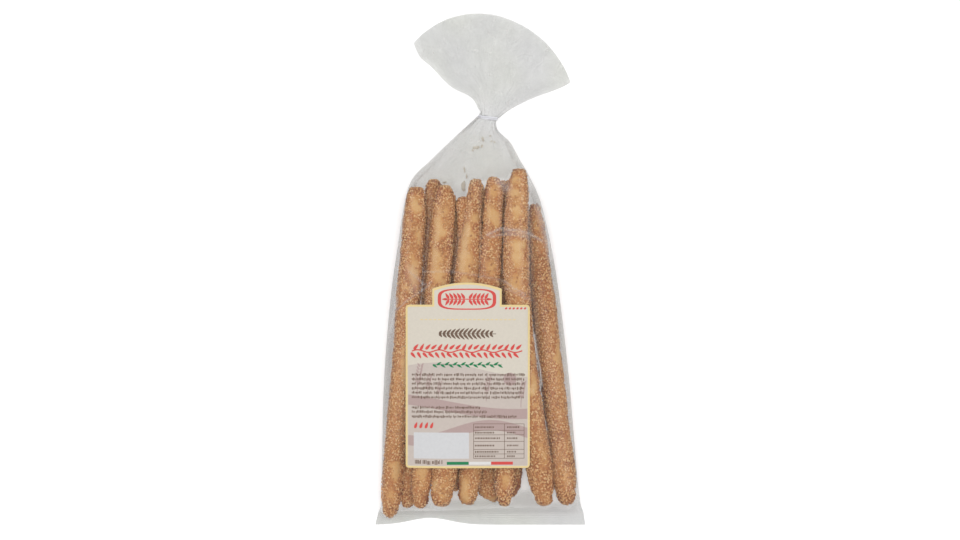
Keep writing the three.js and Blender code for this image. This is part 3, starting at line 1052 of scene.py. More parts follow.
        # Painted shade: the crust is darkened where it faces down or aside.
        bake_and_shade += self.underside_painted_shade * underside(np.sin(turn))
        bake_and_shade += self.uneven_bake * lumps(skin, self.uneven_size, self.seed + 1)
        add_values(piece, "bake_and_shade", np.append(bake_and_shade, [self.cap_bake, self.cap_bake]))
        return dress(piece, finish)


@dataclass
class SeedCoat:
    """All the sesame seeds on the sticks, made as one joined mesh for each colour."""

    sticks: list
    pitch: float = 1.56 * MM
    row_spacing: float = 0.93
    stray_aside: float = 0.33
    stray_along: float = 0.36
    long: float = 2.1 * MM
    wide: float = 1.3 * MM
    thick: float = 0.9 * MM
    lift_least: float = 0.05 * MM
    lift_most: float = 0.3 * MM
    plain_tones: float = 0.6
    underside_shade_tone: float = 0.58
    uneven_tone: float = 0.12
    cover: float = 0.94
    patchy: float = 0.5
    hidden_below: float = -0.55
    baldest: float = 0.7
    nudge: float = 0.6 * MM
    tilt: float = 0.17
    size_spread: float = 0.1
    kinds: tuple = (
        (SeedKind.IVORY, 0.25),
        (SeedKind.TAN, 0.33),
        (SeedKind.HONEY, 0.29),
        (SeedKind.TOASTED, 0.13),
    )

    def spots(self, stick: Breadstick, rng: np.random.Generator) -> tuple[Array, Array, Array]:
        """Where seeds lie on one stick.

        Args:
            stick: The stick.
            rng: The source of chance.

        Returns:
            The seeds' middles, the directions that they face, and how much darker they are, from
            deeper baking and from painted shade below.
        """
        whole = stick.profile_arc[-1]
        arcs, turns = [], []
        row_arcs = np.arange(self.pitch * 0.6, whole, self.pitch * self.row_spacing)
        for row, arc in enumerate(row_arcs):
            wide = np.interp(arc, stick.profile_arc, stick.profile_wide)
            count = max(3, int(round(2 * math.pi * wide / self.pitch)))
            slots = (np.arange(count) + 0.5 * (row % 2)) / count
            aside = rng.uniform(-self.stray_aside, self.stray_aside, count)
            turns.append((slots + aside / count) * 2 * math.pi)
            along = rng.uniform(-self.stray_along, self.stray_along, count)
            arcs.append(arc + along * self.pitch)
        arc = np.clip(np.concatenate(arcs), 0.1 * MM, whole - 0.1 * MM)
        turn = np.concatenate(turns)
        points = stick.skin(arc, turn)
        before, after = (np.clip(arc + step, 0, whole) for step in (-self.nudge, self.nudge))
        lengthwise = stick.skin(after, turn) - stick.skin(before, turn)
        crosswise = stick.skin(arc, turn + 0.1) - stick.skin(arc, turn - 0.1)
        facing = np.cross(crosswise, lengthwise)
        facing /= np.linalg.norm(facing, axis=1, keepdims=True) + 1e-12
        along = np.interp(arc, stick.profile_arc, stick.profile_along)
        outwards = points - stick.stick.axis(along / stick.length)
        facing *= np.sign(np.sum(facing * outwards, axis=1, keepdims=True) + 1e-12)
        cover = self.cover + self.patchy * lumps(points, 8 * MM, stick.seed + 5)
        cover = stick.stick.coat * cover
        bare = stick.bareness(points, np.sin(turn))
        keep = cover * (1 - bare) > rng.uniform(0, 1, len(points))
        keep &= (bare < self.baldest) & (facing[:, 2] > self.hidden_below)
        # Painted shade: seeds that face down or aside are given a darker tone.
        deeper_and_shaded = self.underside_shade_tone * underside(np.sin(turn)) + 0.6 * stick.stick.browning_and_shade
        deeper_and_shaded = deeper_and_shaded + self.uneven_tone * lumps(points, 14 * MM, stick.seed + 2)
        return points[keep], facing[keep], deeper_and_shaded[keep]

    @staticmethod
    def shape() -> tuple[Array, Array]:
        """One seed of unit half sizes: a flat drop, pointed at one end.

        Returns:
            Its vertices and its triangles.
        """
        around = 5
        turn = np.arange(around) * 2 * math.pi / around
        rings = [(-0.42, 1.0), (0.38, 0.74)]
        points = [(-1.0, 0.0, 0.0)]
        for along, size in rings:
            points += [(along, size * math.cos(t), size * math.sin(t)) for t in turn]
        points.append((1.0, 0.0, 0.0))
        tip = len(points) - 1
        faces = []
        for k in range(around):
            after = (k + 1) % around
            low, next_low, high, next_high = (1 + n for n in (k, after, around + k, around + after))
            faces += [(0, low, next_low), (low, high, next_high), (low, next_high, next_low)]
            faces.append((high, tip, next_high))
        return np.array(points), np.array(faces)

    def scatter(self, points: Array, facing: Array, rng: np.random.Generator) -> tuple[Array, list]:
        """Seeds laid at given spots, as one mesh.

        Args:
            points: The spots.
            facing: The directions that the seeds' flat sides face.
            rng: The source of chance.

        Returns:
            The vertices and the triangles.
        """
        count = len(points)
        shape, faces = self.shape()
        loose = rng.normal(size=(count, 3))
        along = unit(loose - facing * np.sum(loose * facing, axis=1, keepdims=True))
        across = np.cross(facing, along)
        tilt = rng.normal(0, self.tilt, count)[:, None]
        up = facing * np.cos(tilt) + across * np.sin(tilt)
        across = across * np.cos(tilt) - facing * np.sin(tilt)
        spread = rng.normal(1, self.size_spread, (count, 3)).clip(0.75, 1.25)
        size = np.array([self.long, self.wide, self.thick]) / 2 * spread
        axes = np.stack([along, across, up], axis=1) * size[:, :, None]
        middles = points + facing * rng.uniform(self.lift_least, self.lift_most, count)[:, None]
        vertices = middles[:, None, :] + np.einsum("vk,nkd->nvd", shape, axes)
        triangles = faces[None] + (np.arange(count) * len(shape))[:, None, None]
        return vertices.reshape(-1, 3), triangles.reshape(-1, 3).tolist()

    def build(self, finishes: dict) -> None:
        """Builds one piece for each colour of seed.

        Args:
            finishes: The finish of each kind of seed.
        """
        rng = np.random.default_rng(11)
        spots = [self.spots(stick, rng) for stick in self.sticks]
        points, facing, deeper_and_shaded = (np.concatenate(parts) for parts in zip(*spots))
        chance = rng.uniform(0, 1, len(points))
        reached = 0.0
        per_seed = len(self.shape()[0])
        for kind, share in self.kinds:
            chosen = (chance >= reached) & (chance < reached + share)
            reached += share
            vertices, faces = self.scatter(points[chosen], facing[chosen], rng)
            piece = mesh_object(f"sesame_{kind.value}", vertices + SHIFT, faces)
            tones = deeper_and_shaded[chosen] + rng.uniform(0, self.plain_tones, int(chosen.sum()))
            add_values(piece, "tone_and_shade", np.repeat(tones, per_seed))
            dress(piece, finishes[kind])


@dataclass
class Crumbs:
    """Loose flakes of crust that lie on the back film above the sticks.

    flakes holds the place in millimetres of plan, the half length, the half width and the turn.
    """

    flakes: tuple = (
        ((-10.6, 53.4), 1.5, 3.6, 0.1),
        ((-2.6, 78.1), 2.5, 1.1, 0.1),
        ((-4.6, 76.4), 1.0, 0.7, 0.8),
        ((1.9, 83.4), 0.8, 1.8, 0.2),
        ((1.3, 79.0), 0.6, 1.3, -0.2),
        ((7.4, 82.2), 0.9, 0.5, 0.4),
        ((9.3, 81.6), 0.8, 0.6, -0.5),
        ((6.6, 85.6), 0.7, 0.6, 0.9),
        ((-10.0, 64.0), 0.5, 2.2, 0.15),
        ((-8.6, 59.6), 0.5, 1.6, -0.1),
        ((-22.6, 55.8), 1.4, 0.6, 0.2),
        ((-25.2, 54.2), 0.9, 0.7, -0.3),
    )
    half_thickness: float = 0.35 * MM
    above_film: float = 0.9 * MM
    leanness: float = 0.9
    palest: float = -0.1
    brownest: float = 0.35

    def build(self, finish: Material) -> Piece:
        """Builds the flakes as one joined mesh and dresses it.

        Args:
            finish: The crust.

        Returns:
            The piece.
        """
        rows = BagRows(np.linspace(0, NECK_STATION, 200))
        work = bmesh.new()
        bmesh.ops.create_icosphere(work, subdivisions=2, radius=1.0)
        ball = np.array([v.co for v in work.verts])
        ball_faces = np.array([[v.index for v in face.verts] for face in work.faces])
        work.free()
        points, faces = [], []
        for k, (place, long, wide, turn) in enumerate(self.flakes):
            lumpy = ball * (1 + 0.5 * lumps(ball, 0.9, 1.3 * k + 0.7))[:, None]
            x, y = (lumpy[:, :2] * (long, wide) * self.leanness * MM).T
            flat_x = place[0] * MM + x * math.cos(turn) - y * math.sin(turn)
            flat_y = place[1] * MM + x * math.sin(turn) + y * math.cos(turn)
            floor = float(np.interp(place[1] * MM, rows.left[:, 1], rows.low)) + self.above_film
            height = floor + lumpy[:, 2] * self.half_thickness
            points.append(np.stack([flat_x, flat_y, height], axis=1))
            faces += (ball_faces + k * len(ball)).tolist()
        piece = mesh_object("crumbs", np.vstack(points) + SHIFT, faces)
        bakes = np.linspace(self.palest, self.brownest, len(self.flakes))
        add_values(piece, "bake_and_shade", np.repeat(bakes, len(ball)))
        return dress(piece, finish)


# ---- The film over the sticks -----------------------------------------------------------------


@dataclass
class LabelPlan:
    """The label's outline in plan."""

    left: float = -47.4 * MM
    right: float = 31.7 * MM
    bottom: float = -126.7 * MM
    top: float = -22.7 * MM
    corner: float = 2.2 * MM
    crest_left: float = -30.4 * MM
    crest_right: float = 13.8 * MM
    crest_shoulder: float = -12.5 * MM
    crest_crown: float = -8.6 * MM

    def outline(self, inset: float = 0.0) -> Array:
        """Points of the outline, counter-clockwise, drawn in by an inset.

        Args:
            inset: How far inside the label's edge it runs.

        Returns:
            One row for each point.
        """
        left, right = self.left + self.corner, self.right - self.corner
        bottom, top = self.bottom + self.corner, self.top - self.corner
        corners = []
        middles = ((left, bottom), (right, bottom), (right, top), (left, top))
        for quarter, (x, y) in zip((2, 3, 0, 1), middles):
            turn = np.linspace(0, math.pi / 2, 6) + quarter * math.pi / 2
            round_about = np.stack([np.cos(turn), np.sin(turn)], axis=1)
            corners.append((self.corner - inset) * round_about + (x, y))
        share = np.linspace(0, 1, 15)
        middle = (self.crest_left + self.crest_right) / 2
        half = (self.crest_right - self.crest_left) / 2 - inset
        x = middle + half * (1 - 2 * share)
        rise = (self.crest_crown - self.crest_shoulder) * 4 * share * (1 - share)
        arch = np.stack([x, self.crest_shoulder - inset + rise], axis=1)
        start, end = ([(foot, self.top - inset)] for foot in (middle + half, middle - half))
        return np.vstack([*corners[:3], start, arch, end, corners[3]])

    def nearness(self, x: Array, y: Array, reach: float) -> Array:
        """How near points in plan are to the label.

        Args:
            x: The points' x.
            y: The points' y.
            reach: How far from it the nearness ends.

        Returns:
            1 on the label, and less further from it, down to 0 at the reach.
        """
        away = np.inf
        for left, bottom, right, top in (
            (self.left, self.bottom, self.right, self.top),
            (self.crest_left, self.top, self.crest_right, self.crest_crown),
        ):
            aside = np.maximum(np.maximum(left - x, x - right), 0)
            above = np.maximum(np.maximum(bottom - y, y - top), 0)
            away = np.minimum(away, np.hypot(aside, above))
        return 1 - smooth_step(away, 0, reach)


@dataclass
class Drape:
    """Heights of the front film and of the label over the sticks, on a fine grid in plan.

    The grids are tight, a sheet drawn flat over the sticks; resting, what it could sink onto;
    film, the film with its valleys; smooth, the film beyond the sticks' tops; paper, the label's
    underside; free, how loosely the film hangs; bread, where sticks lie; and crown, the least
    height over them.
    """

    label: LabelPlan
    cell: float = 0.9 * MM
    span_x: Point2 = (-72 * MM, 72 * MM)
    span_y: Point2 = (-167 * MM, 101 * MM)
    film_blur: Point2 = (1.6, 1.4)
    smooth_blur: Point2 = (3.0, 3.0)
    paper_blur: Point2 = (5.0, 3.2)
    last_blur: Point2 = (1.2, 1.2)
    bread_blur: Point2 = (1.1, 1.1)
    clearance: float = 0.95 * MM
    tent_radius: float = 5.2 * MM
    tip_length: float = 9 * MM
    valley_share: float = 0.45
    valley_depth: float = 2.4 * MM
    arc_samples: int = 11
    gap_cells: int = 4
    seed_room: float = 0.9 * MM
    open_height: float = 50 * MM
    seal_middle: float = 1.2 * MM
    seal_radius: float = 0.6 * MM
    slack_gap: float = 2.5 * MM
    least_room: float = 0.1 * MM
    label_reach: float = 7 * MM
    under_paper: float = 0.12 * MM
    over_film: float = 0.15 * MM

    def __post_init__(self) -> None:
        """Works the grids out."""
        self.xs, self.ys = (np.arange(*span, self.cell) for span in (self.span_x, self.span_y))
        rows = BagRows(np.linspace(0, NECK_STATION, 700))
        neck = BagRows(np.array([float(NECK_STATION)]))
        self.neck_x, self.neck_y = (neck.left[0] + neck.right[0]) / 2
        self.neck_z = float(neck.side[0])
        left_x = np.interp(self.ys, rows.left[:, 1], rows.left[:, 0])
        right_x = np.interp(self.ys, rows.right[:, 1], rows.right[:, 0])
        side = np.interp(self.ys, rows.left[:, 1], rows.side)
        self.tight = np.zeros((len(self.ys), len(self.xs)))
        self.resting = np.zeros_like(self.tight)
        for j, y in enumerate(self.ys):
            self.tight[j], self.resting[j] = self.row(y, left_x[j], right_x[j], side[j])
        gap = self.tight - self.resting
        soft = self.tight - np.minimum(self.valley_depth, self.valley_share * gap)
        soft = np.maximum(blur(soft, *self.film_blur), self.resting)
        self.smooth = np.maximum(blur(self.tight, *self.smooth_blur), self.resting)
        stiff = blur(self.tight, *self.paper_blur)
        under_label = np.maximum(stiff, self.resting + self.least_room)
        self.paper = blur(under_label, *self.last_blur) + self.over_film
        x, y = np.meshgrid(self.xs, self.ys)
        near = self.label.nearness(x, y, self.label_reach)
        self.film = blend(soft, self.paper - self.under_paper, near)
        self.free = np.clip(gap / self.slack_gap, 0, 1) * (1 - near)
        self.bread = blur(self.covered(x, y), *self.bread_blur)
        self.crown = self.crowns(x, y)

    def covered(self, x: Array, y: Array) -> Array:
        """Where a stick or a narrow gap between sticks lies under the film.

        Args:
            x: The points' x in plan.
            y: The points' y in plan.

        Returns:
            1 over the bread, and 0 in the open.
        """
        inside = np.zeros(x.shape, bool)
        for stick in STICKS:
            axis, half = self.round_bar(stick, y)
            inside |= np.abs(x - axis[..., 0]) < half
        shifts = range(-self.gap_cells, self.gap_cells + 1)
        wider = np.any([np.roll(inside, shift, axis=1) for shift in shifts], axis=0)
        return np.all([np.roll(wider, shift, axis=1) for shift in shifts], axis=0).astype(float)

    def round_bar(self, stick: Stick, y: Array, beyond: float = 0.0) -> tuple[Array, Array]:
        """The points of a stick's axis at heights in plan, and its half width there.

        Args:
            stick: The stick.
            y: The heights in plan.
            beyond: How far both its tips are taken to run on.

        Returns:
            The points, and the half widths.
        """
        share = stick.share_at(y)
        from_tip = np.minimum(y - stick.end[1] * MM, stick.top[1] * MM - y) + beyond
        from_tip = from_tip / self.tip_length
        rounding = np.sqrt(1 - (1 - np.clip(from_tip, 0, 1)) ** 2)
        return stick.axis(share), stick.thickness(share) * rounding

    def crowns(self, x: Array, y: Array) -> Array:
        """The least height at which the film clears the sticks.

        Args:
            x: The points' x in plan.
            y: The points' y in plan.

        Returns:
            The height at each point, and 0 in the open.
        """
        crown = np.zeros(x.shape)
        for stick in STICKS:
            axis, half = self.round_bar(stick, y, self.seed_room)
            rise = half**2 - (x - axis[..., 0]) ** 2
            top = axis[..., 2] + np.sqrt(np.maximum(rise, 0)) + self.clearance
            crown = np.maximum(crown, np.where(rise > 0, top, 0))
        return crown

    def bellies(self, x: Array, y: Array) -> Array:
        """The greatest height at which the back film clears the sticks.

        Args:
            x: The points' x in plan.
            y: The points' y in plan.

        Returns:
            The height at each point, from 0 on the table up.
        """
        belly = np.full(x.shape, self.open_height)
        for stick in STICKS:
            axis, half = self.round_bar(stick, y)
            rise = (half + self.seed_room) ** 2 - (x - axis[..., 0]) ** 2
            bottom = axis[..., 2] - np.sqrt(np.maximum(rise, 0))
            belly = np.minimum(belly, np.where((rise > 0) & (half > 0), bottom, self.open_height))
        return np.maximum(belly, 0)

    def row(self, y: float, left_x: float, right_x: float, side: float) -> tuple[Array, Array]:
        """Heights along one row.

        Args:
            y: Where the row is.
            left_x: Its left end.
            right_x: Its right end.
            side: Height of its ends.

        Returns:
            The height of a tight sheet over the sticks, and the height of what it rests on.
        """
        knots = [(left_x, side), (right_x, side)]
        resting = np.full(len(self.xs), side)
        angles = math.pi * (np.arange(self.arc_samples) + 0.5) / self.arc_samples
        for stick in STICKS:
            x, z, radius = self.support(stick, y)
            radius += self.clearance
            px = np.clip(x + radius * np.cos(angles), left_x, right_x)
            knots += list(zip(px, z + radius * np.sin(angles)))
            inside = np.maximum(radius**2 - (self.xs - x) ** 2, 0)
            resting = np.maximum(resting, np.where(inside > 0, z + np.sqrt(inside), 0))
        hull = []
        for knot in sorted(knots):
            while len(hull) > 1 and self.turns_up(hull[-2], hull[-1], knot):
                hull.pop()
            hull.append(knot)
        tight = np.interp(self.xs, [k[0] for k in hull], [k[1] for k in hull])
        return tight, np.minimum(resting, tight)

    @staticmethod
    def turns_up(first: Point2, second: Point2, third: Point2) -> bool:
        """Whether the second of three points lies under the line between its neighbours."""
        rise = (second[0] - first[0]) * (third[1] - first[1])
        return rise - (second[1] - first[1]) * (third[0] - first[0]) >= 0

    def support(self, stick: Stick, y: float) -> Point3:
        """What a stick holds up at one height in plan.

        Args:
            stick: The stick.
            y: The height in plan.

        Returns:
            The middle's x and z, and the radius of the round that the film lies on.
        """
        top, end = np.array(stick.top) * MM, np.array(stick.end) * MM
        if y > top[1]:
            share = min(1.0, (y - top[1]) / (self.neck_y - top[1]))
            x, z = blend(top[0], self.neck_x, share), blend(top[2], self.neck_z, share)
            return x, z, self.tent_radius
        if y < end[1]:
            room = end[1] - SEAL_INNER_Y
            share = min(1.0, (end[1] - y) / room) if room > 0 else 1.0
            z = blend(end[2], self.seal_middle, share)
            return end[0], z, blend(self.tent_radius, self.seal_radius, share)
        axis = stick.axis(np.array([stick.share_at(y)]))[0]
        from_tip = min(1.0, min(y - end[1], top[1] - y) / self.tip_length)
        round_share = math.sqrt(1 - (1 - from_tip) ** 2)
        thickness = float(stick.thickness(stick.share_at(y)))
        return axis[0], axis[2], blend(min(self.tent_radius, thickness), thickness, round_share)

    def read(self, grid: Array, x: Array, y: Array) -> Array:
        """The value of a grid at points in plan.

        Args:
            grid: The grid.
            x: The points' x.
            y: The points' y.

        Returns:
            The value at each point.
        """
        i = np.clip((x - self.xs[0]) / self.cell, 0, len(self.xs) - 1.001)
        j = np.clip((y - self.ys[0]) / self.cell, 0, len(self.ys) - 1.001)
        i0, j0 = i.astype(int), j.astype(int)
        lower = blend(grid[j0, i0], grid[j0, i0 + 1], i - i0)
        upper = blend(grid[j0 + 1, i0], grid[j0 + 1, i0 + 1], i - i0)
        return blend(lower, upper, j - j0)


@dataclass(frozen=True)
class Crease:
    """A crease on the front film, or a painted sheen on it: its line in millimetres of plan, width,
    height and the painted sheen's strength.
    """

    line: tuple
    width: float = 0.6
    height: float = 0.3
    painted_sheen: float = 0.2


# Each crease also paints a whitish sheen along its line; those of height 0 are painted sheen and
# nothing else.
CREASES = (
    Crease(((4.5, 21.6), (12.8, 25.6), (25.6, 24.3), (32.0, 22.2), (39.7, 17.9)), 0.7, 0.5, 0.3),
    Crease(((6.4, 20.5), (14.7, 22.0), (22.4, 21.8), (30.7, 19.8)), 0.8, 0.4, 0.18),
    Crease(((16.6, 23.7), (29.4, 22.4)), 2.2, 0.0, 0.14),
    Crease(((-44.8, -1.9), (-35.8, -9.6)), 0.6, 0.3, 0.24),
    Crease(((-53.1, -26.2), (-46.1, -19.8), (-32.0, -10.2)), 0.6, 0.3, 0.2),
    Crease(((-46.0, -13.4), (-30.7, -8.3)), 0.5, 0.3, 0.14),
    Crease(
        ((-35.2, -1.9), (-19.2, -1.3), (-3.2, -3.8), (13.4, -7.0), (23.0, -13.4)), 0.5, 0.3, 0.14
    ),
    Crease(((16.0, -7.7), (21.1, -12.2), (28.8, -16.0)), 0.6, 0.3, 0.24),
    Crease(((16.0, -12.2), (32.0, -19.8)), 0.7, 0.3, 0.16),
    Crease(
        ((34.6, -41.6), (35.8, -51.8), (37.1, -58.2), (38.4, -64.6), (39.4, -74.2)), 0.45, 0.3, 0.5
    ),
    Crease(((36.5, 41.0), (42.6, 19.0), (45.4, 6.4)), 2.2, 0.0, 0.22),
    Crease(((11.5, 56.0), (17.3, 51.2)), 2.6, 0.0, 0.17),
    Crease(((-44.2, 0.0), (-42.0, -13.0)), 3.2, 0.0, 0.1),
    Crease(((1.6, 113.0), (3.4, 105.0)), 2.4, 0.0, 0.1),
    Crease(((-53.2, -19.0), (-55.4, -30.0), (-57.2, -40.0)), 1.1, 0.0, 0.24),
)


@dataclass
class FilmSheet:
    """The front or the back of the film in plan, and where each of its points lies on the bag."""

    rows: BagRows
    across: Array
    seal_fade: Point2 = (SEAL_EDGE_Y + 6 * MM, SEAL_INNER_Y + 4 * MM)
    fan_fade: Point2 = (NECK_STATION + 0.4, NECK_STATION + 3)

    def __post_init__(self) -> None:
        """Lays the points out."""
        plan = self.rows.plan(self.across)
        self.x, self.y = plan[..., 0], plan[..., 1]
        self.station = self.rows.stations[:, None] + 0 * self.x
        self.oval = np.sqrt(np.clip(1 - self.across**2, 0, 1))[None, :]
        heights = (self.rows.side, self.rows.low, self.rows.high, self.rows.flat)
        self.side, self.low, self.high, self.flat = (values[:, None] for values in heights)
        self.in_seal = 1 - smooth_step(self.y, *self.seal_fade)
        self.in_fan = smooth_step(self.station, *self.fan_fade)

    def spots(self, height: float) -> Array:
        """The points at one height, to read noise at."""
        return np.stack([self.x, self.y, 0 * self.x + height], axis=-1)


@dataclass
class FilmBag:
    """The clear film: a tube flattened over the sticks, sealed below and open at its fan."""

    drape: Drape
    front_columns: int = 190
    back_columns: int = 104
    row_step: float = 1.0 * MM
    seal_step: float = 0.36 * MM
    lift: float = 0.2 * MM
    rib_pitch: float = 1.3 * MM
    rib_height: float = 0.2 * MM
    rib_haze: float = 0.09
    crinkle_painted_sheen: float = 0.14
    haze_over_bread: float = 0.03
    haze_in_open: float = 0.252
    most_haze: float = 0.5
    fan_pleat: float = 1.5 * MM
    fan_crumple: float = 0.8 * MM
    loose_crumple: float = 0.55 * MM
    shoulder_pleat: float = 0.35 * MM
    back_fan_pleat: float = 0.45 * MM
    back_pleat: float = 0.3 * MM
    back_crumple: float = 0.25 * MM
    neck_draw: float = 0.09
    edge_crowding: float = 0.35
    middle_crumple: float = 0.6
    back_share: float = 0.6
    side_steepness: float = 6.0
    crumple_haze: float = 0.028
    pleat_painted_shade: float = 0.03
    back_crumple_haze: float = 0.02
    side_shade_lightening: float = 0.6
    neck_fineness: float = 1.6
    front_seed: float = 2.0
    back_seed: float = 7.0
    back_pleat_seed: float = 5.0
    back_noise_height: float = 50 * MM
    front_folds: tuple = ((13 * MM, 4.0), (6 * MM, 8.0))
    back_folds: Point2 = (11 * MM, 6.0)
    crinkles: tuple = ((10 * MM, 12.0, (0.86, 0.97)), (5 * MM, 15.0, (0.9, 0.98)))

    def stations(self) -> Array:
        """Where the rows lie, closer together in the crimped seal.

        Returns:
            The rows' places, counted in sections.
        """
        places = []
        for index, (start, end) in enumerate(zip(SECTIONS[:-1], SECTIONS[1:])):
            left, right = end.left[1] - start.left[1], end.right[1] - start.right[1]
            span = max(left, right, end.bow - start.bow) * MM
            step = self.seal_step if index < SEAL_SECTIONS else self.row_step
            count = max(1, math.ceil(span / step))
            places += [index + k / count for k in range(count)]
        return np.array(places + [len(SECTIONS) - 1.0])

    def gathers(self, column: Array, station: Array, seed: float) -> Array:
        """Pleats that run along the film from the neck.

        Args:
            column: Places round the film.
            station: Places along it, counted in sections.
            seed: Picks the pleats.

        Returns:
            Heights from -1 to 1.
        """
        points = np.stack(np.broadcast_arrays(column * 15, station * 0.35, seed), axis=-1)
        coarse = lumps(points, 1.0, seed)
        fine = lumps(points * np.array([2.3, 1.4, 1.0]), 1.0, seed + 1)
        return np.tanh(2.4 * (coarse + 0.5 * fine))

    def front(self, rows: BagRows) -> tuple[Array, Array, Array]:
        """The front sheet.

        Args:
            rows: The bag's rows.

        Returns:
            Its points by row and column, and the haze and the painted sheen at each.
        """
        place = np.linspace(0, 1, self.front_columns + 1)
        across = blend(2 * place - 1, -np.cos(math.pi * place), self.edge_crowding)
        sheet = FilmSheet(rows, across)
        spots = sheet.spots(0.0)
        coarse, fine = (folds(spots, size, seed) for size, seed in self.front_folds)
        crumple = coarse + fine / 2 - self.middle_crumple
        pleat = self.gathers(place[None, :], sheet.station, self.front_seed)
        above_tips = smooth_step(sheet.station, SHOULDER_STATION - 0.6, SHOULDER_STATION + 1.2)
        height, painted_sheen = self.front_height(sheet, crumple, pleat, above_tips)
        points = np.stack([sheet.x, sheet.y, height + self.lift], axis=-1)
        in_open = 1 - self.drape.read(self.drape.bread, sheet.x, sheet.y)
        # Painted light and shade: haze that follows the pleats beyond the sticks' tops draws
        # lighter and darker streaks along them.
        uneven = self.crumple_haze * crumple + self.pleat_painted_shade * pleat * above_tips
        at_side = 1 - smooth_step(sheet.oval + 0 * sheet.x, 0.15, 0.5)
        haze = (self.haze_at(in_open) + in_open * uneven) * self.neck_clearing(sheet.station)
        # Painted light: the film is made clearer at its steep sides beyond the sticks' tops, to
        # lighten the shade that falls there.
        haze = haze * (1 - self.side_shade_lightening * above_tips * at_side)
        haze = haze + sheet.in_seal * self.rib_haze * self.ribs(sheet) / self.rib_height
        crinkle = 0.0
        for size, seed, fade in self.crinkles:
            crinkle = crinkle + smooth_step(folds(spots, size, seed), *fade)
        # Painted highlights on the sharp crinkles beyond the sticks' tops.
        painted_sheen = np.maximum(painted_sheen, self.crinkle_painted_sheen * crinkle * in_open * above_tips)
        return self.squeeze(points, sheet, place, self.front_seed), haze, painted_sheen

    def front_height(
        self, sheet: FilmSheet, crumple: Array, pleat: Array, above_tips: Array
    ) -> tuple[Array, Array]:
        """Heights of the front sheet.

        Args:
            sheet: The sheet in plan.
            crumple: Its crumples, from about -0.6 to 1.
            pleat: Its pleats, from -1 to 1.
            above_tips: 1 beyond the sticks' tops, and 0 over them.

        Returns:
            The height and the creases' painted sheen at each point.
        """
        x, y, oval, read = sheet.x, sheet.y, sheet.oval, self.drape.read
        free = sheet.side + (sheet.high - sheet.side) * oval
        fan = self.fan_pleat * pleat + self.fan_crumple * crumple
        fan = free + sheet.in_fan * fan * oval**0.5
        sunken, smooth = (read(grid, x, y) for grid in (self.drape.film, self.drape.smooth))
        over = blend(sunken, smooth, above_tips)
        loose = read(self.drape.free, x, y) * (0.35 + 0.3 * above_tips)
        over = over + loose * self.loose_crumple * crumple
        over = over + above_tips * oval * self.shoulder_pleat * pleat
        over, painted_sheen = self.add_creases(over, x, y)
        over = blend(sheet.side, over, np.minimum(1.0, oval * self.side_steepness))
        gathered = smooth_step(sheet.station, BODY_END_STATION - 1, NECK_STATION - 0.4)
        height = blend(blend(over, free, gathered), free, sheet.in_seal)
        height = np.maximum(height, read(self.drape.crown, x, y))
        height = np.where(sheet.station >= NECK_STATION, fan, height)
        return height + sheet.in_seal * self.ribs(sheet), painted_sheen

    def back(self, rows: BagRows) -> tuple[Array, Array]:
        """The back sheet, which lies on the table.

        Args:
            rows: The bag's rows.

        Returns:
            Its points by row and column without the side edges, and the haze at each.
        """
        place = np.linspace(1, 0, self.back_columns + 1)[1:-1]
        across = -np.cos(math.pi * place)
        sheet = FilmSheet(rows, across)
        edge = np.clip((np.abs(across)[None, :] - sheet.flat) / (1 - sheet.flat), 0, 1)
        height = sheet.side - (sheet.side - sheet.low) * np.sqrt(1 - edge**2)
        crumple = folds(sheet.spots(self.back_noise_height), *self.back_folds)
        pleat = self.gathers(place[None, :], sheet.station, self.back_pleat_seed)
        above_tips = smooth_step(sheet.station, SHOULDER_STATION, BODY_END_STATION)
        rise = self.back_fan_pleat * sheet.in_fan + self.back_pleat * above_tips
        rise = (1 + pleat) * rise + self.back_crumple * crumple * (1 - sheet.in_seal)
        room = self.back_share * (sheet.side - sheet.low)
        height = height + np.minimum(rise, room) * sheet.oval**0.5
        height = height + sheet.in_seal * self.ribs(sheet) / 2
        under_sticks = np.minimum(height, self.drape.bellies(sheet.x, sheet.y))
        height = np.where(sheet.station < NECK_STATION, under_sticks, height)
        points = np.stack([sheet.x, sheet.y, height + self.lift], axis=-1)
        points = self.squeeze(points, sheet, 1 + place, self.back_seed)
        in_open = 1 - self.drape.read(self.drape.bread, sheet.x, sheet.y)
        haze = self.haze_at(in_open) + self.back_crumple_haze * in_open * (crumple - 0.4)
        return points, haze * self.neck_clearing(sheet.station)

    def ribs(self, sheet: FilmSheet) -> Array:
        """The crimped ribs that run across the seal.

        Args:
            sheet: The sheet in plan.

        Returns:
            Their height at each point.
        """
        x, y = sheet.x, sheet.y
        band = smooth_step(y, -161.5 * MM, -159.5 * MM) - smooth_step(y, -152.5 * MM, -150.5 * MM)
        strength = 0.45 + 0.55 * np.exp(-(((x - 16 * MM) / (22 * MM)) ** 2))
        wander = y + 0.5 * MM * np.sin(x / (19 * MM))
        return self.rib_height * band * strength * np.sin(2 * math.pi * wander / self.rib_pitch)

    def squeeze(self, points: Array, sheet: FilmSheet, place: Array, seed: float) -> Array:
        """Gathers the neck into fine pleats by drawing points towards its middle.

        Args:
            points: Points by row and column.
            sheet: The sheet in plan.
            place: The columns' places round the film.
            seed: Picks the pleats.

        Returns:
            The points, moved near the neck.
        """
        rows = sheet.rows
        away = np.abs(rows.stations - NECK_STATION)
        near = (1 - smooth_step(away, 0.5, 2.2))[:, None]
        pleat = self.gathers(place[None, :] * self.neck_fineness, sheet.station, seed)
        middle = np.zeros((len(rows.stations), 1, 3))
        middle[:, 0, :2] = (rows.left + rows.right) / 2
        middle[:, 0, 2] = rows.side + self.lift
        factor = 1 - near * self.neck_draw * (1 - pleat)
        moved = middle + (points - middle) * factor[..., None]
        return np.where(near[..., None] > 0, moved, points)

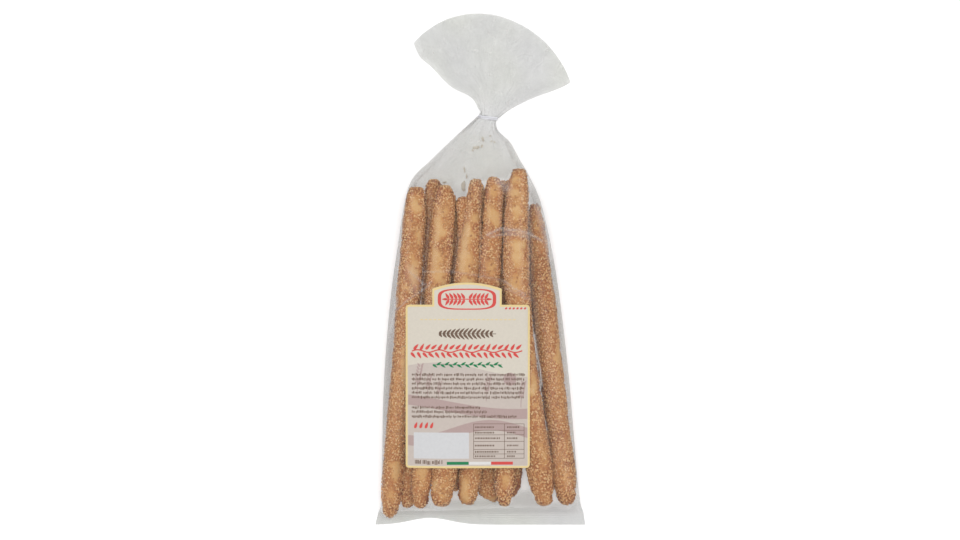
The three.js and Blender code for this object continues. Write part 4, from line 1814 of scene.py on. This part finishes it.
    def add_creases(self, height: Array, x: Array, y: Array) -> tuple[Array, Array]:
        """Presses the creases into the front sheet and paints sheen along them.

        Args:
            height: Its heights.
            x: Its points' x in plan.
            y: Its points' y in plan.

        Returns:
            The new heights, and the painted sheen at each point.
        """
        painted_sheen = np.zeros_like(height)
        for crease in CREASES:
            away = np.full_like(height, np.inf)
            line = np.array(crease.line) * MM
            for start, end in zip(line[:-1], line[1:]):
                run = end - start
                share = ((x - start[0]) * run[0] + (y - start[1]) * run[1]) / (run @ run)
                nearest = start + np.clip(share, 0, 1)[..., None] * run
                away = np.minimum(away, np.hypot(x - nearest[..., 0], y - nearest[..., 1]))
            ridge = np.exp(-((away / (crease.width * MM)) ** 2))
            height = height + crease.height * MM * ridge
            painted_sheen = np.maximum(painted_sheen, crease.painted_sheen * ridge)
        return height, painted_sheen

    @staticmethod
    def neck_clearing(station: Array) -> Array:
        """How much of its haze the film keeps: less in the tight neck, whose folds add up."""
        return 1 - 0.3 * np.exp(-(((station - NECK_STATION) / 1.4) ** 2))

    def haze_at(self, in_open: Array) -> Array:
        """How cloudy the film is: clearest where it is drawn tight over the sticks."""
        return blend(self.haze_over_bread, self.haze_in_open, in_open)

    def build(self, finish: Material) -> Piece:
        """Builds the film as one tube and dresses it.

        Args:
            finish: The film.

        Returns:
            The piece.
        """
        rows = BagRows(self.stations())
        front, front_haze, front_painted_sheen = self.front(rows)
        back, back_haze = self.back(rows)
        tube = np.hstack([front, back])
        haze = np.hstack([front_haze, back_haze])
        painted_sheen = np.hstack([front_painted_sheen, np.zeros_like(back_haze)])
        faces = ring_faces(*tube.shape[:2])
        piece = mesh_object("film_bag", tube.reshape(-1, 3) + SHIFT, faces)
        add_values(piece, "haze", np.clip(haze, 0.0, self.most_haze))
        add_values(piece, "painted_sheen", painted_sheen)
        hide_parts("bag")
        return dress(piece, finish)


# ---- The label --------------------------------------------------------------------------------


class Ink(Enum):
    """The inks printed on the label."""

    STRAW = "straw"
    WASH = "wash"
    MAUVE = "mauve"
    RED = "red"
    BROWN = "brown"
    GREEN = "green"
    GREY = "grey"
    WHITE = "white"


INK_COLOURS = {
    Ink.STRAW: (0.81, 0.635, 0.30),
    Ink.WASH: (0.59, 0.515, 0.465),
    Ink.MAUVE: (0.47, 0.35, 0.33),
    Ink.RED: (0.66, 0.085, 0.075),
    Ink.BROWN: (0.16, 0.105, 0.075),
    Ink.GREEN: (0.02, 0.21, 0.085),
    Ink.GREY: (0.66, 0.66, 0.67),
    Ink.WHITE: (0.75, 0.74, 0.72),
}


@dataclass
class LabelPrint:
    """The print: plain fields, rules, rows of greeked lines and seed and leaf ornaments.

    Its shapes are lists of outlines in millimetres of plan, one list for each ink.
    """

    plan: LabelPlan
    shapes: dict = field(default_factory=lambda: {ink: [] for ink in Ink})
    border_width: float = 1.2
    crest_middle: Point2 = (-8.3, -19.2)
    crest_half: Point2 = (18.6, 6.7)
    crest_squareness: float = 0.55
    crest_inner: float = 0.885

    def lay_out(self) -> dict:
        """Draws everything.

        Returns:
            The outlines of each ink, in metres.
        """
        self.border()
        self.landscape()
        self.crest()
        self.garlands()
        self.paragraphs()
        self.panel()
        self.ruled_table()
        self.stripes()
        return {ink: [shape * MM for shape in shapes] for ink, shapes in self.shapes.items()}

    def box(self, ink: Ink, left: float, bottom: float, right: float, top: float) -> None:
        """Prints a rectangle."""
        corners = [(left, bottom), (right, bottom), (right, top), (left, top)]
        self.shapes[ink].append(np.array(corners))

    def drop(self, ink: Ink, x: float, y: float, form: Point3, point: float = 0.5) -> None:
        """Prints a seed or leaf.

        Args:
            ink: What it is printed in.
            x: Its middle's x.
            y: Its middle's y.
            form: Its half length, its half width and the angle of its long axis.
            point: How pointed its far end is, from 0 for an oval.
        """
        long, wide, lean = form
        turn = np.arange(14) * 2 * math.pi / 14
        ahead = long * np.cos(turn)
        aside = wide * np.sin(turn) * (1 - point * np.cos(turn)) / (1 + 0.3 * point)
        cos, sin = math.cos(lean), math.sin(lean)
        outline = np.stack([x + ahead * cos - aside * sin, y + ahead * sin + aside * cos], axis=1)
        self.shapes[ink].append(outline)

    def strip(self, ink: Ink, first: Array, second: Array) -> None:
        """Prints the strip between two lines of as many points, as four-sided shapes.

        Args:
            ink: What it is printed in.
            first: The line on its left side.
            second: The line on its right side.
        """
        for k in range(len(first) - 1):
            corners = [second[k], second[k + 1], first[k + 1], first[k]]
            self.shapes[ink].append(np.array(corners))

    def stroke(self, ink: Ink, line: Array, width: float) -> None:
        """Prints a line.

        Args:
            ink: What it is printed in.
            line: Its points, one row each.
            width: How wide it is.
        """
        ahead = unit(np.gradient(line, axis=0))
        aside = np.stack([-ahead[:, 1], ahead[:, 0]], axis=1) * width / 2
        self.strip(ink, line + aside, line - aside)

    def border(self) -> None:
        """The straw edge."""
        outer = 0.05
        inner = outer + self.border_width
        rings = (self.plan.outline(inset * MM) / MM for inset in (inner, outer))
        self.strip(Ink.STRAW, *(np.vstack([ring, ring[:1]]) for ring in rings))

    def landscape(self) -> None:
        """Pale hills, a low sun and ears of grain across the lower half."""
        margin, band, columns = 1.6, 6.5, 48
        left, right = self.plan.left / MM + margin, self.plan.right / MM - margin
        foot = np.full(columns, self.plan.bottom / MM + margin)
        xs = np.linspace(left, right, columns)
        part = (xs - left) / (right - left) * math.pi
        hills = ((-64, 4.5, 1.3, 0.6), (-84, 5.0, 0.9, 2.2), (-101, 5.0, 1.6, 4.4))
        for order, (base, crown, waves, shift) in enumerate(hills):
            ridge = base + crown * np.sin(part * waves + shift)
            lower = np.maximum(ridge - band, foot) if order else foot
            lines = (np.stack([xs, ys], axis=1) for ys in (ridge, lower))
            self.strip(Ink.MAUVE if order else Ink.WASH, *lines)
        self.drop(Ink.MAUVE, 19, -70, (4.2, 4.2, 0), point=0)
        ears = ((-40, -80, 20), (-33.5, -82, 15), (-26.5, -83, 12), (4, -84, 16), (26, -88, 17))
        for x, y, tall in ears:
            self.ear(Ink.MAUVE, x, y, tall, lean=0.12)

    def ear(self, ink: Ink, x: float, y: float, tall: float, lean: float) -> None:
        """Prints an ear of grain on its stalk.

        Args:
            ink: What it is printed in.
            x: Its foot's x.
            y: Its foot's y.
            tall: Its height.
            lean: How far it leans over.
        """
        share = np.linspace(0, 1, 9)[:5]
        stalk = np.stack([x + lean * tall * share**2, y + tall * share], axis=1)
        self.stroke(ink, stalk, tall * 0.03)
        for s in np.linspace(0.45, 0.95, 6):
            for hand in (-1, 1):
                place = (x + tall * (lean * s * s + hand * 0.06), y + tall * s)
                self.drop(ink, *place, (tall * 0.075, tall * 0.032, math.pi / 2 - hand * 0.55))

    def crest(self) -> None:
        """A red oval ring with two crossed ears under the arch."""
        x, y = self.crest_middle
        turn = np.linspace(0, 2 * math.pi, 49)
        circle = np.stack([np.cos(turn), np.sin(turn)], axis=1)
        ring = self.crest_half * np.sign(circle) * np.abs(circle) ** self.crest_squareness
        self.strip(Ink.RED, ring * self.crest_inner + (x, y), ring + (x, y))
        for hand in (-1, 1):
            ahead = 0 if hand > 0 else math.pi
            stem = sorted((x, x + hand * 13.6))
            self.box(Ink.RED, stem[0], y - 0.3, stem[1], y + 0.3)
            for k in range(5):
                for up in (-1, 1):
                    leaf = (x + hand * (2.6 + 2.5 * k), y + up * 2.15)
                    self.drop(Ink.RED, *leaf, (2.1, 0.95, ahead + hand * up))
            self.drop(Ink.RED, x + hand * 14.2, y, (1.7, 0.8, ahead))
        for k in range(6):
            self.drop(Ink.RED, 16.6 + k * 2.4, -25, (0.85, 0.6, 0.6), point=0)

    def garlands(self) -> None:
        """Three rows of ornament in the places of the titles."""
        self.box(Ink.BROWN, -26.2, -41.4, 10.2, -41)
        for k in range(13):
            swell = 0.5 + 0.5 * math.sin(math.pi * (k + 0.5) / 13)
            for up in (-1, 1):
                grain = (-25 + 2.7 * k, -41.2 + up * 1.9 * swell)
                self.drop(Ink.BROWN, *grain, (2.5 * swell, 0.8, up * 0.8))
        xs = np.linspace(-43.4, 26.8, 90)
        middle = -52.2
        stem = np.stack([xs, middle + 0.8 * np.sin((xs + 43.2) / 2.2)], axis=1)
        self.stroke(Ink.RED, stem, 0.8)
        for k in range(18):
            for up in (-1, 1):
                leaf = (-41.6 + k * 3.85 + up * 0.9, middle + up * 2.7)
                lean = up * (0.85 + 0.2 * math.sin(k * 1.7))
                self.drop(Ink.RED, *leaf, (2.3, 0.95, lean))
        for k in range(17):
            up = 1 if k % 2 else -1
            leaf = (-28.6 + k * 2.6, -60.9 + up * 0.8)
            self.drop(Ink.GREEN, *leaf, (1.75, 0.72, up * 0.6))
        self.box(Ink.GREEN, -29.4, -61.1, 13.8, -60.7)
        for k in range(22):
            self.box(Ink.STRAW, -38 + k * 2.8, -32.4, -36.2 + k * 2.8, -31.9)

    def paragraphs(self) -> None:
        """Small print as rows of greeked dashes."""
        rng = np.random.default_rng(5)
        rows = [(-67.8 - 2.88 * k, -43.4, 28.0, 1.15) for k in range(6)]
        rows += [(-88.7, -43.4, 0.2, 1.15), (-91.5, -43.4, 4.4, 1.15), (-94.4, -43.4, 23.0, 1.15)]
        rows.append((-124.0, -41.4, -24.0, 1.8))
        for y, start, end, tall in rows:
            x = start
            while x < end:
                word = min(rng.uniform(1.6, 6.5), end - x)
                mark = x
                while mark < x + word:
                    stroke = rng.uniform(0.35, 0.75)
                    high = tall * rng.choice([1.0, 1.0, 1.35])
                    low = tall * rng.choice([0.0, 0.0, -0.3])
                    self.box(Ink.BROWN, mark, y + low, mark + stroke, y + high)
                    mark += stroke + rng.uniform(0.22, 0.42)
                x += word + rng.uniform(0.7, 1.1)

    def panel(self) -> None:
        """The bare grey panel and the red seeds over it."""
        self.box(Ink.GREY, -42.2, -120.6, -7, -104)
        for k in range(4):
            self.drop(Ink.RED, -40.8 + k * 3.4, -99.4, (2.1, 0.95, 1.2))

    def ruled_table(self) -> None:
        """The small ruled table."""
        lines = [-98.6, -102.7, -105.6, -109.8, -114.9, -117.8, -120.6]
        for y in lines:
            self.box(Ink.BROWN, -4.2, y, 28.2, y + 0.28)
        for x in (-4.2, 15.4, 27.9):
            self.box(Ink.BROWN, x, lines[-1], x + 0.3, lines[0])
        rng = np.random.default_rng(8)
        for upper, lower in zip(lines[:-1], lines[1:]):
            middle = (upper + lower) / 2
            for start, end in ((-3.2, rng.uniform(6, 13)), (17.2, rng.uniform(20, 25))):
                x = start
                while x < end:
                    stroke = rng.uniform(0.4, 0.8)
                    self.box(Ink.BROWN, x, middle - 0.45, x + stroke, middle + 0.6)
                    x += stroke + rng.uniform(0.3, 0.5)

    def stripes(self) -> None:
        """The stripe of three colours at the foot."""
        fields = ((Ink.GREEN, -21.1, -7.2), (Ink.WHITE, -7, 6.9), (Ink.RED, 7.1, 20.9))
        for ink, left, right in fields:
            self.box(ink, left, -124.5, right, -122.6)


@dataclass
class Label:
    """The label: a thin sheet bent over the film, and thin inks laid on it."""

    drape: Drape
    plan: LabelPlan
    thickness: float = 0.25 * MM
    cell: float = 1.0 * MM
    ink_root: float = 0.06 * MM
    ink_lifts: dict = field(default_factory=lambda: {Ink.WASH: 0.02 * MM, Ink.MAUVE: 0.04 * MM})
    ink_lift: float = 0.07 * MM
    merge: float = 0.001 * MM

    def sheet(self, name: str, outlines: list, top: float, bottom: float) -> Piece:
        """A closed thin sheet over the film.

        Args:
            name: The piece's name.
            outlines: The shapes that it covers in plan.
            top: Height of its top over the label's underside.
            bottom: Height of its underside over the label's.

        Returns:
            The piece.
        """
        work = bmesh.new()
        for outline in outlines:
            work.faces.new([work.verts.new((x, y, 0)) for x, y in outline])
        work.normal_update()
        bmesh.ops.triangulate(work, faces=work.faces[:])
        low = np.min([o.min(axis=0) for o in outlines], axis=0)
        high = np.max([o.max(axis=0) for o in outlines], axis=0)
        for axis, normal in enumerate((Vector((1, 0, 0)), Vector((0, 1, 0)))):
            first = math.ceil(low[axis] / self.cell)
            for k in range(first, math.floor(high[axis] / self.cell) + 1):
                geometry = work.verts[:] + work.edges[:] + work.faces[:]
                place = normal * (k * self.cell)
                bmesh.ops.bisect_plane(work, geom=geometry, plane_co=place, plane_no=normal)
        bmesh.ops.remove_doubles(work, verts=work.verts[:], dist=self.merge)
        for face in work.faces:
            if face.normal.z < 0:
                face.normal_flip()
        work.verts.ensure_lookup_table()
        work.verts.index_update()
        x, y, _ = np.array([v.co for v in work.verts]).T
        base = self.drape.read(self.drape.paper, x, y)
        upper, lower = (np.stack([x, y, base + height], axis=1) for height in (top, bottom))
        faces = [[v.index for v in face.verts] for face in work.faces]
        count = len(x)
        closed = faces + [[v + count for v in reversed(face)] for face in faces]
        for edge in work.edges:
            if len(edge.link_loops) == 1:
                loop = edge.link_loops[0]
                a, b = loop.vert.index, loop.link_loop_next.vert.index
                closed.append([b, a, a + count, b + count])
        work.free()
        return mesh_object(name, np.vstack([upper, lower]) + SHIFT, closed, smooth=False)

    def build(self, paper: Material, inks: dict) -> None:
        """Builds the paper and its inks.

        Args:
            paper: The paper's finish.
            inks: The finish of each ink.
        """
        sheet = self.sheet("label_paper", [self.plan.outline()], self.thickness, 0.0)
        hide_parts("label")
        dress(sheet, paper)
        for ink, outlines in LabelPrint(self.plan).lay_out().items():
            top = self.thickness + self.ink_lifts.get(ink, self.ink_lift)
            piece = self.sheet(f"print_{ink.value}", outlines, top, self.thickness - self.ink_root)
            dress(piece, inks[ink])


# ---- The tie ----------------------------------------------------------------------------------


@dataclass
class Tie:
    """A thin cord wound twice round the neck."""

    turns: float = 2.0
    radius: float = 0.48 * MM
    clearance: float = -0.35 * MM
    pitch: float = 1.05 * MM
    levelling: float = 0.36
    steps: int = 170
    around: int = 12
    sag: float = 0.5 * MM
    end_rounding: Point3 = (0.35, 0.75, 0.95)

    def line(self) -> Array:
        """The cord's middle line.

        Returns:
            Its points, one row each.
        """
        neck = BagRows(np.array([float(NECK_STATION)]))
        across = neck.right[0] - neck.left[0]
        half_wide = np.linalg.norm(across) / 2 + self.clearance + self.radius
        lean = math.atan2(across[1], across[0]) + self.levelling
        across = np.array([math.cos(lean), math.sin(lean)])
        ahead = np.array([-across[1], across[0]])
        half_high = (neck.high[0] - neck.low[0]) / 2 + self.clearance + self.radius
        middle = (neck.left[0] + neck.right[0]) / 2
        share = np.linspace(0, 1, self.steps)
        turn = -0.5 * math.pi + 2 * math.pi * self.turns * share
        along = (share - 0.5) * self.pitch * self.turns - self.sag * np.maximum(0, np.sin(turn))
        sideways = half_wide * np.cos(turn)
        plan = middle + sideways[:, None] * across + along[:, None] * ahead
        height = neck.side[0] + half_high * np.sin(turn)
        return np.column_stack([plan, height])

    def build(self, finish: Material) -> Piece:
        """Builds the cord with round ends and dresses it.

        Args:
            finish: The cord's finish.

        Returns:
            The piece.
        """
        line = self.line()
        ahead = unit(np.gradient(line, axis=0))
        aside = unit(np.cross(ahead, [0.13, 0.98, 0.1]))
        other = np.cross(ahead, aside)
        turn = (np.arange(self.around) * 2 * math.pi / self.around)[None, :, None]
        widths = np.ones(len(line))
        widths[:3] = widths[-3:][::-1] = self.end_rounding
        round_about = np.cos(turn) * aside[:, None] + np.sin(turn) * other[:, None]
        rings = line[:, None] + round_about * (self.radius * widths)[:, None, None]
        points = np.vstack([rings.reshape(-1, 3), line[:1], line[-1:]])
        piece = mesh_object("tie", points + SHIFT, bar_faces(len(line), self.around))
        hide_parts("tie")
        return dress(piece, finish)


# ---- Studio -----------------------------------------------------------------------------------


@dataclass
class Studio:
    """A white floor, soft light from all round, and a camera that looks straight down."""

    frame_width: float = 614.4 * MM
    lens: float = 135.0
    sensor: float = 36.0
    sharp_height: float = 14 * MM
    middle_y: float = -0.64 * MM
    floor_size: float = 5.0
    even_light: float = 0.36
    mirrored_light: float = 0.85
    film_layers: int = 32

    def build(self) -> None:
        """Builds the studio."""
        self.add_camera()
        self.add_floor()
        self.add_world()
        self.add_softbox("top", (0.0, 0.0, 3.2), 1.8, 46, mirrored=False)
        self.add_softbox("left", (-1.3, 0.4, 1.5), 1.3, 7)
        self.add_softbox("right", (1.3, 0.3, 1.5), 1.3, 7)
        bpy.context.scene.view_settings.view_transform = "Standard"
        bpy.context.scene.cycles.transparent_max_bounces = self.film_layers

    def add_camera(self) -> None:
        """The camera."""
        camera = bpy.data.objects.new("camera", bpy.data.cameras.new("camera"))
        camera.data.lens = self.lens
        camera.data.sensor_width = self.sensor
        distance = self.frame_width * self.lens / self.sensor
        camera.location = (SHIFT[0], SHIFT[1] + self.middle_y, distance + self.sharp_height)
        camera.data.clip_end = 20.0
        bpy.context.scene.collection.objects.link(camera)
        bpy.context.scene.camera = camera

    def add_floor(self) -> None:
        """The floor."""
        half = self.floor_size / 2
        corners = np.array([(-half, -half, 0), (half, -half, 0), (half, half, 0), (-half, half, 0)])
        floor = mesh_object("floor", corners, [[0, 1, 2, 3]], smooth=False)
        floor.data.materials.append(FloorFinish().build())

    def add_world(self) -> None:
        """Even light from all round, which glossy surfaces mirror as white screens."""
        world = bpy.data.worlds.new("studio_light")
        world.use_nodes = True
        tree = world.node_tree
        background = tree.nodes["Background"]
        background.inputs["Color"].default_value = (1.0, 1.0, 1.0, 1.0)
        rays = tree.nodes.new("ShaderNodeLightPath")
        strength = tree.nodes.new("ShaderNodeMath")
        strength.operation = "MULTIPLY_ADD"
        tree.links.new(rays.outputs["Is Glossy Ray"], strength.inputs[0])
        strength.inputs[1].default_value = self.mirrored_light - self.even_light
        strength.inputs[2].default_value = self.even_light
        tree.links.new(strength.outputs["Value"], background.inputs["Strength"])
        bpy.context.scene.world = world

    @staticmethod
    def add_softbox(
        name: str, place: Point3, size: float, power: float, mirrored: bool = True
    ) -> None:
        """A square soft light that faces the bag.

        Args:
            name: The light's name.
            place: Where it stands.
            size: The length of its sides.
            power: Its power in watts.
            mirrored: Whether glossy surfaces mirror it.
        """
        light = bpy.data.lights.new(name, "AREA")
        light.shape = "SQUARE"
        light.size = size
        light.energy = power
        lamp = bpy.data.objects.new(name, light)
        lamp.location = place
        lamp.visible_glossy = mirrored
        lamp.rotation_mode = "QUATERNION"
        lamp.rotation_quaternion = (-Vector(place)).to_track_quat("-Z", "Y")
        bpy.context.scene.collection.objects.link(lamp)


# ---- The whole --------------------------------------------------------------------------------


def main() -> None:
    """Builds the studio, the sticks with their seeds, the film, the label and the tie."""
    logging.basicConfig(level=logging.INFO, format="%(name)s: %(message)s")
    Studio().build()
    crust = CrustFinish().build()
    sticks = [Breadstick(stick, seed=1.7 * (k + 1)) for k, stick in enumerate(STICKS)]
    for stick in sticks:
        stick.build(crust)
    SeedCoat(sticks).build({finish.kind: finish.build() for finish in SEED_FINISHES})
    Crumbs().build(FLAKE_FINISH.build())
    label_plan = LabelPlan()
    drape = Drape(label_plan)
    FilmBag(drape).build(FilmFinish().build())
    paper = PaperFinish("label_paper", (0.69, 0.635, 0.545)).build()
    inks = {
        ink: PaperFinish(f"ink_{ink.value}", colour).build() for ink, colour in INK_COLOURS.items()
    }
    Label(drape, label_plan).build(paper, inks)
    Tie().build(CordFinish().build())


if __name__ == "__main__":
    main()
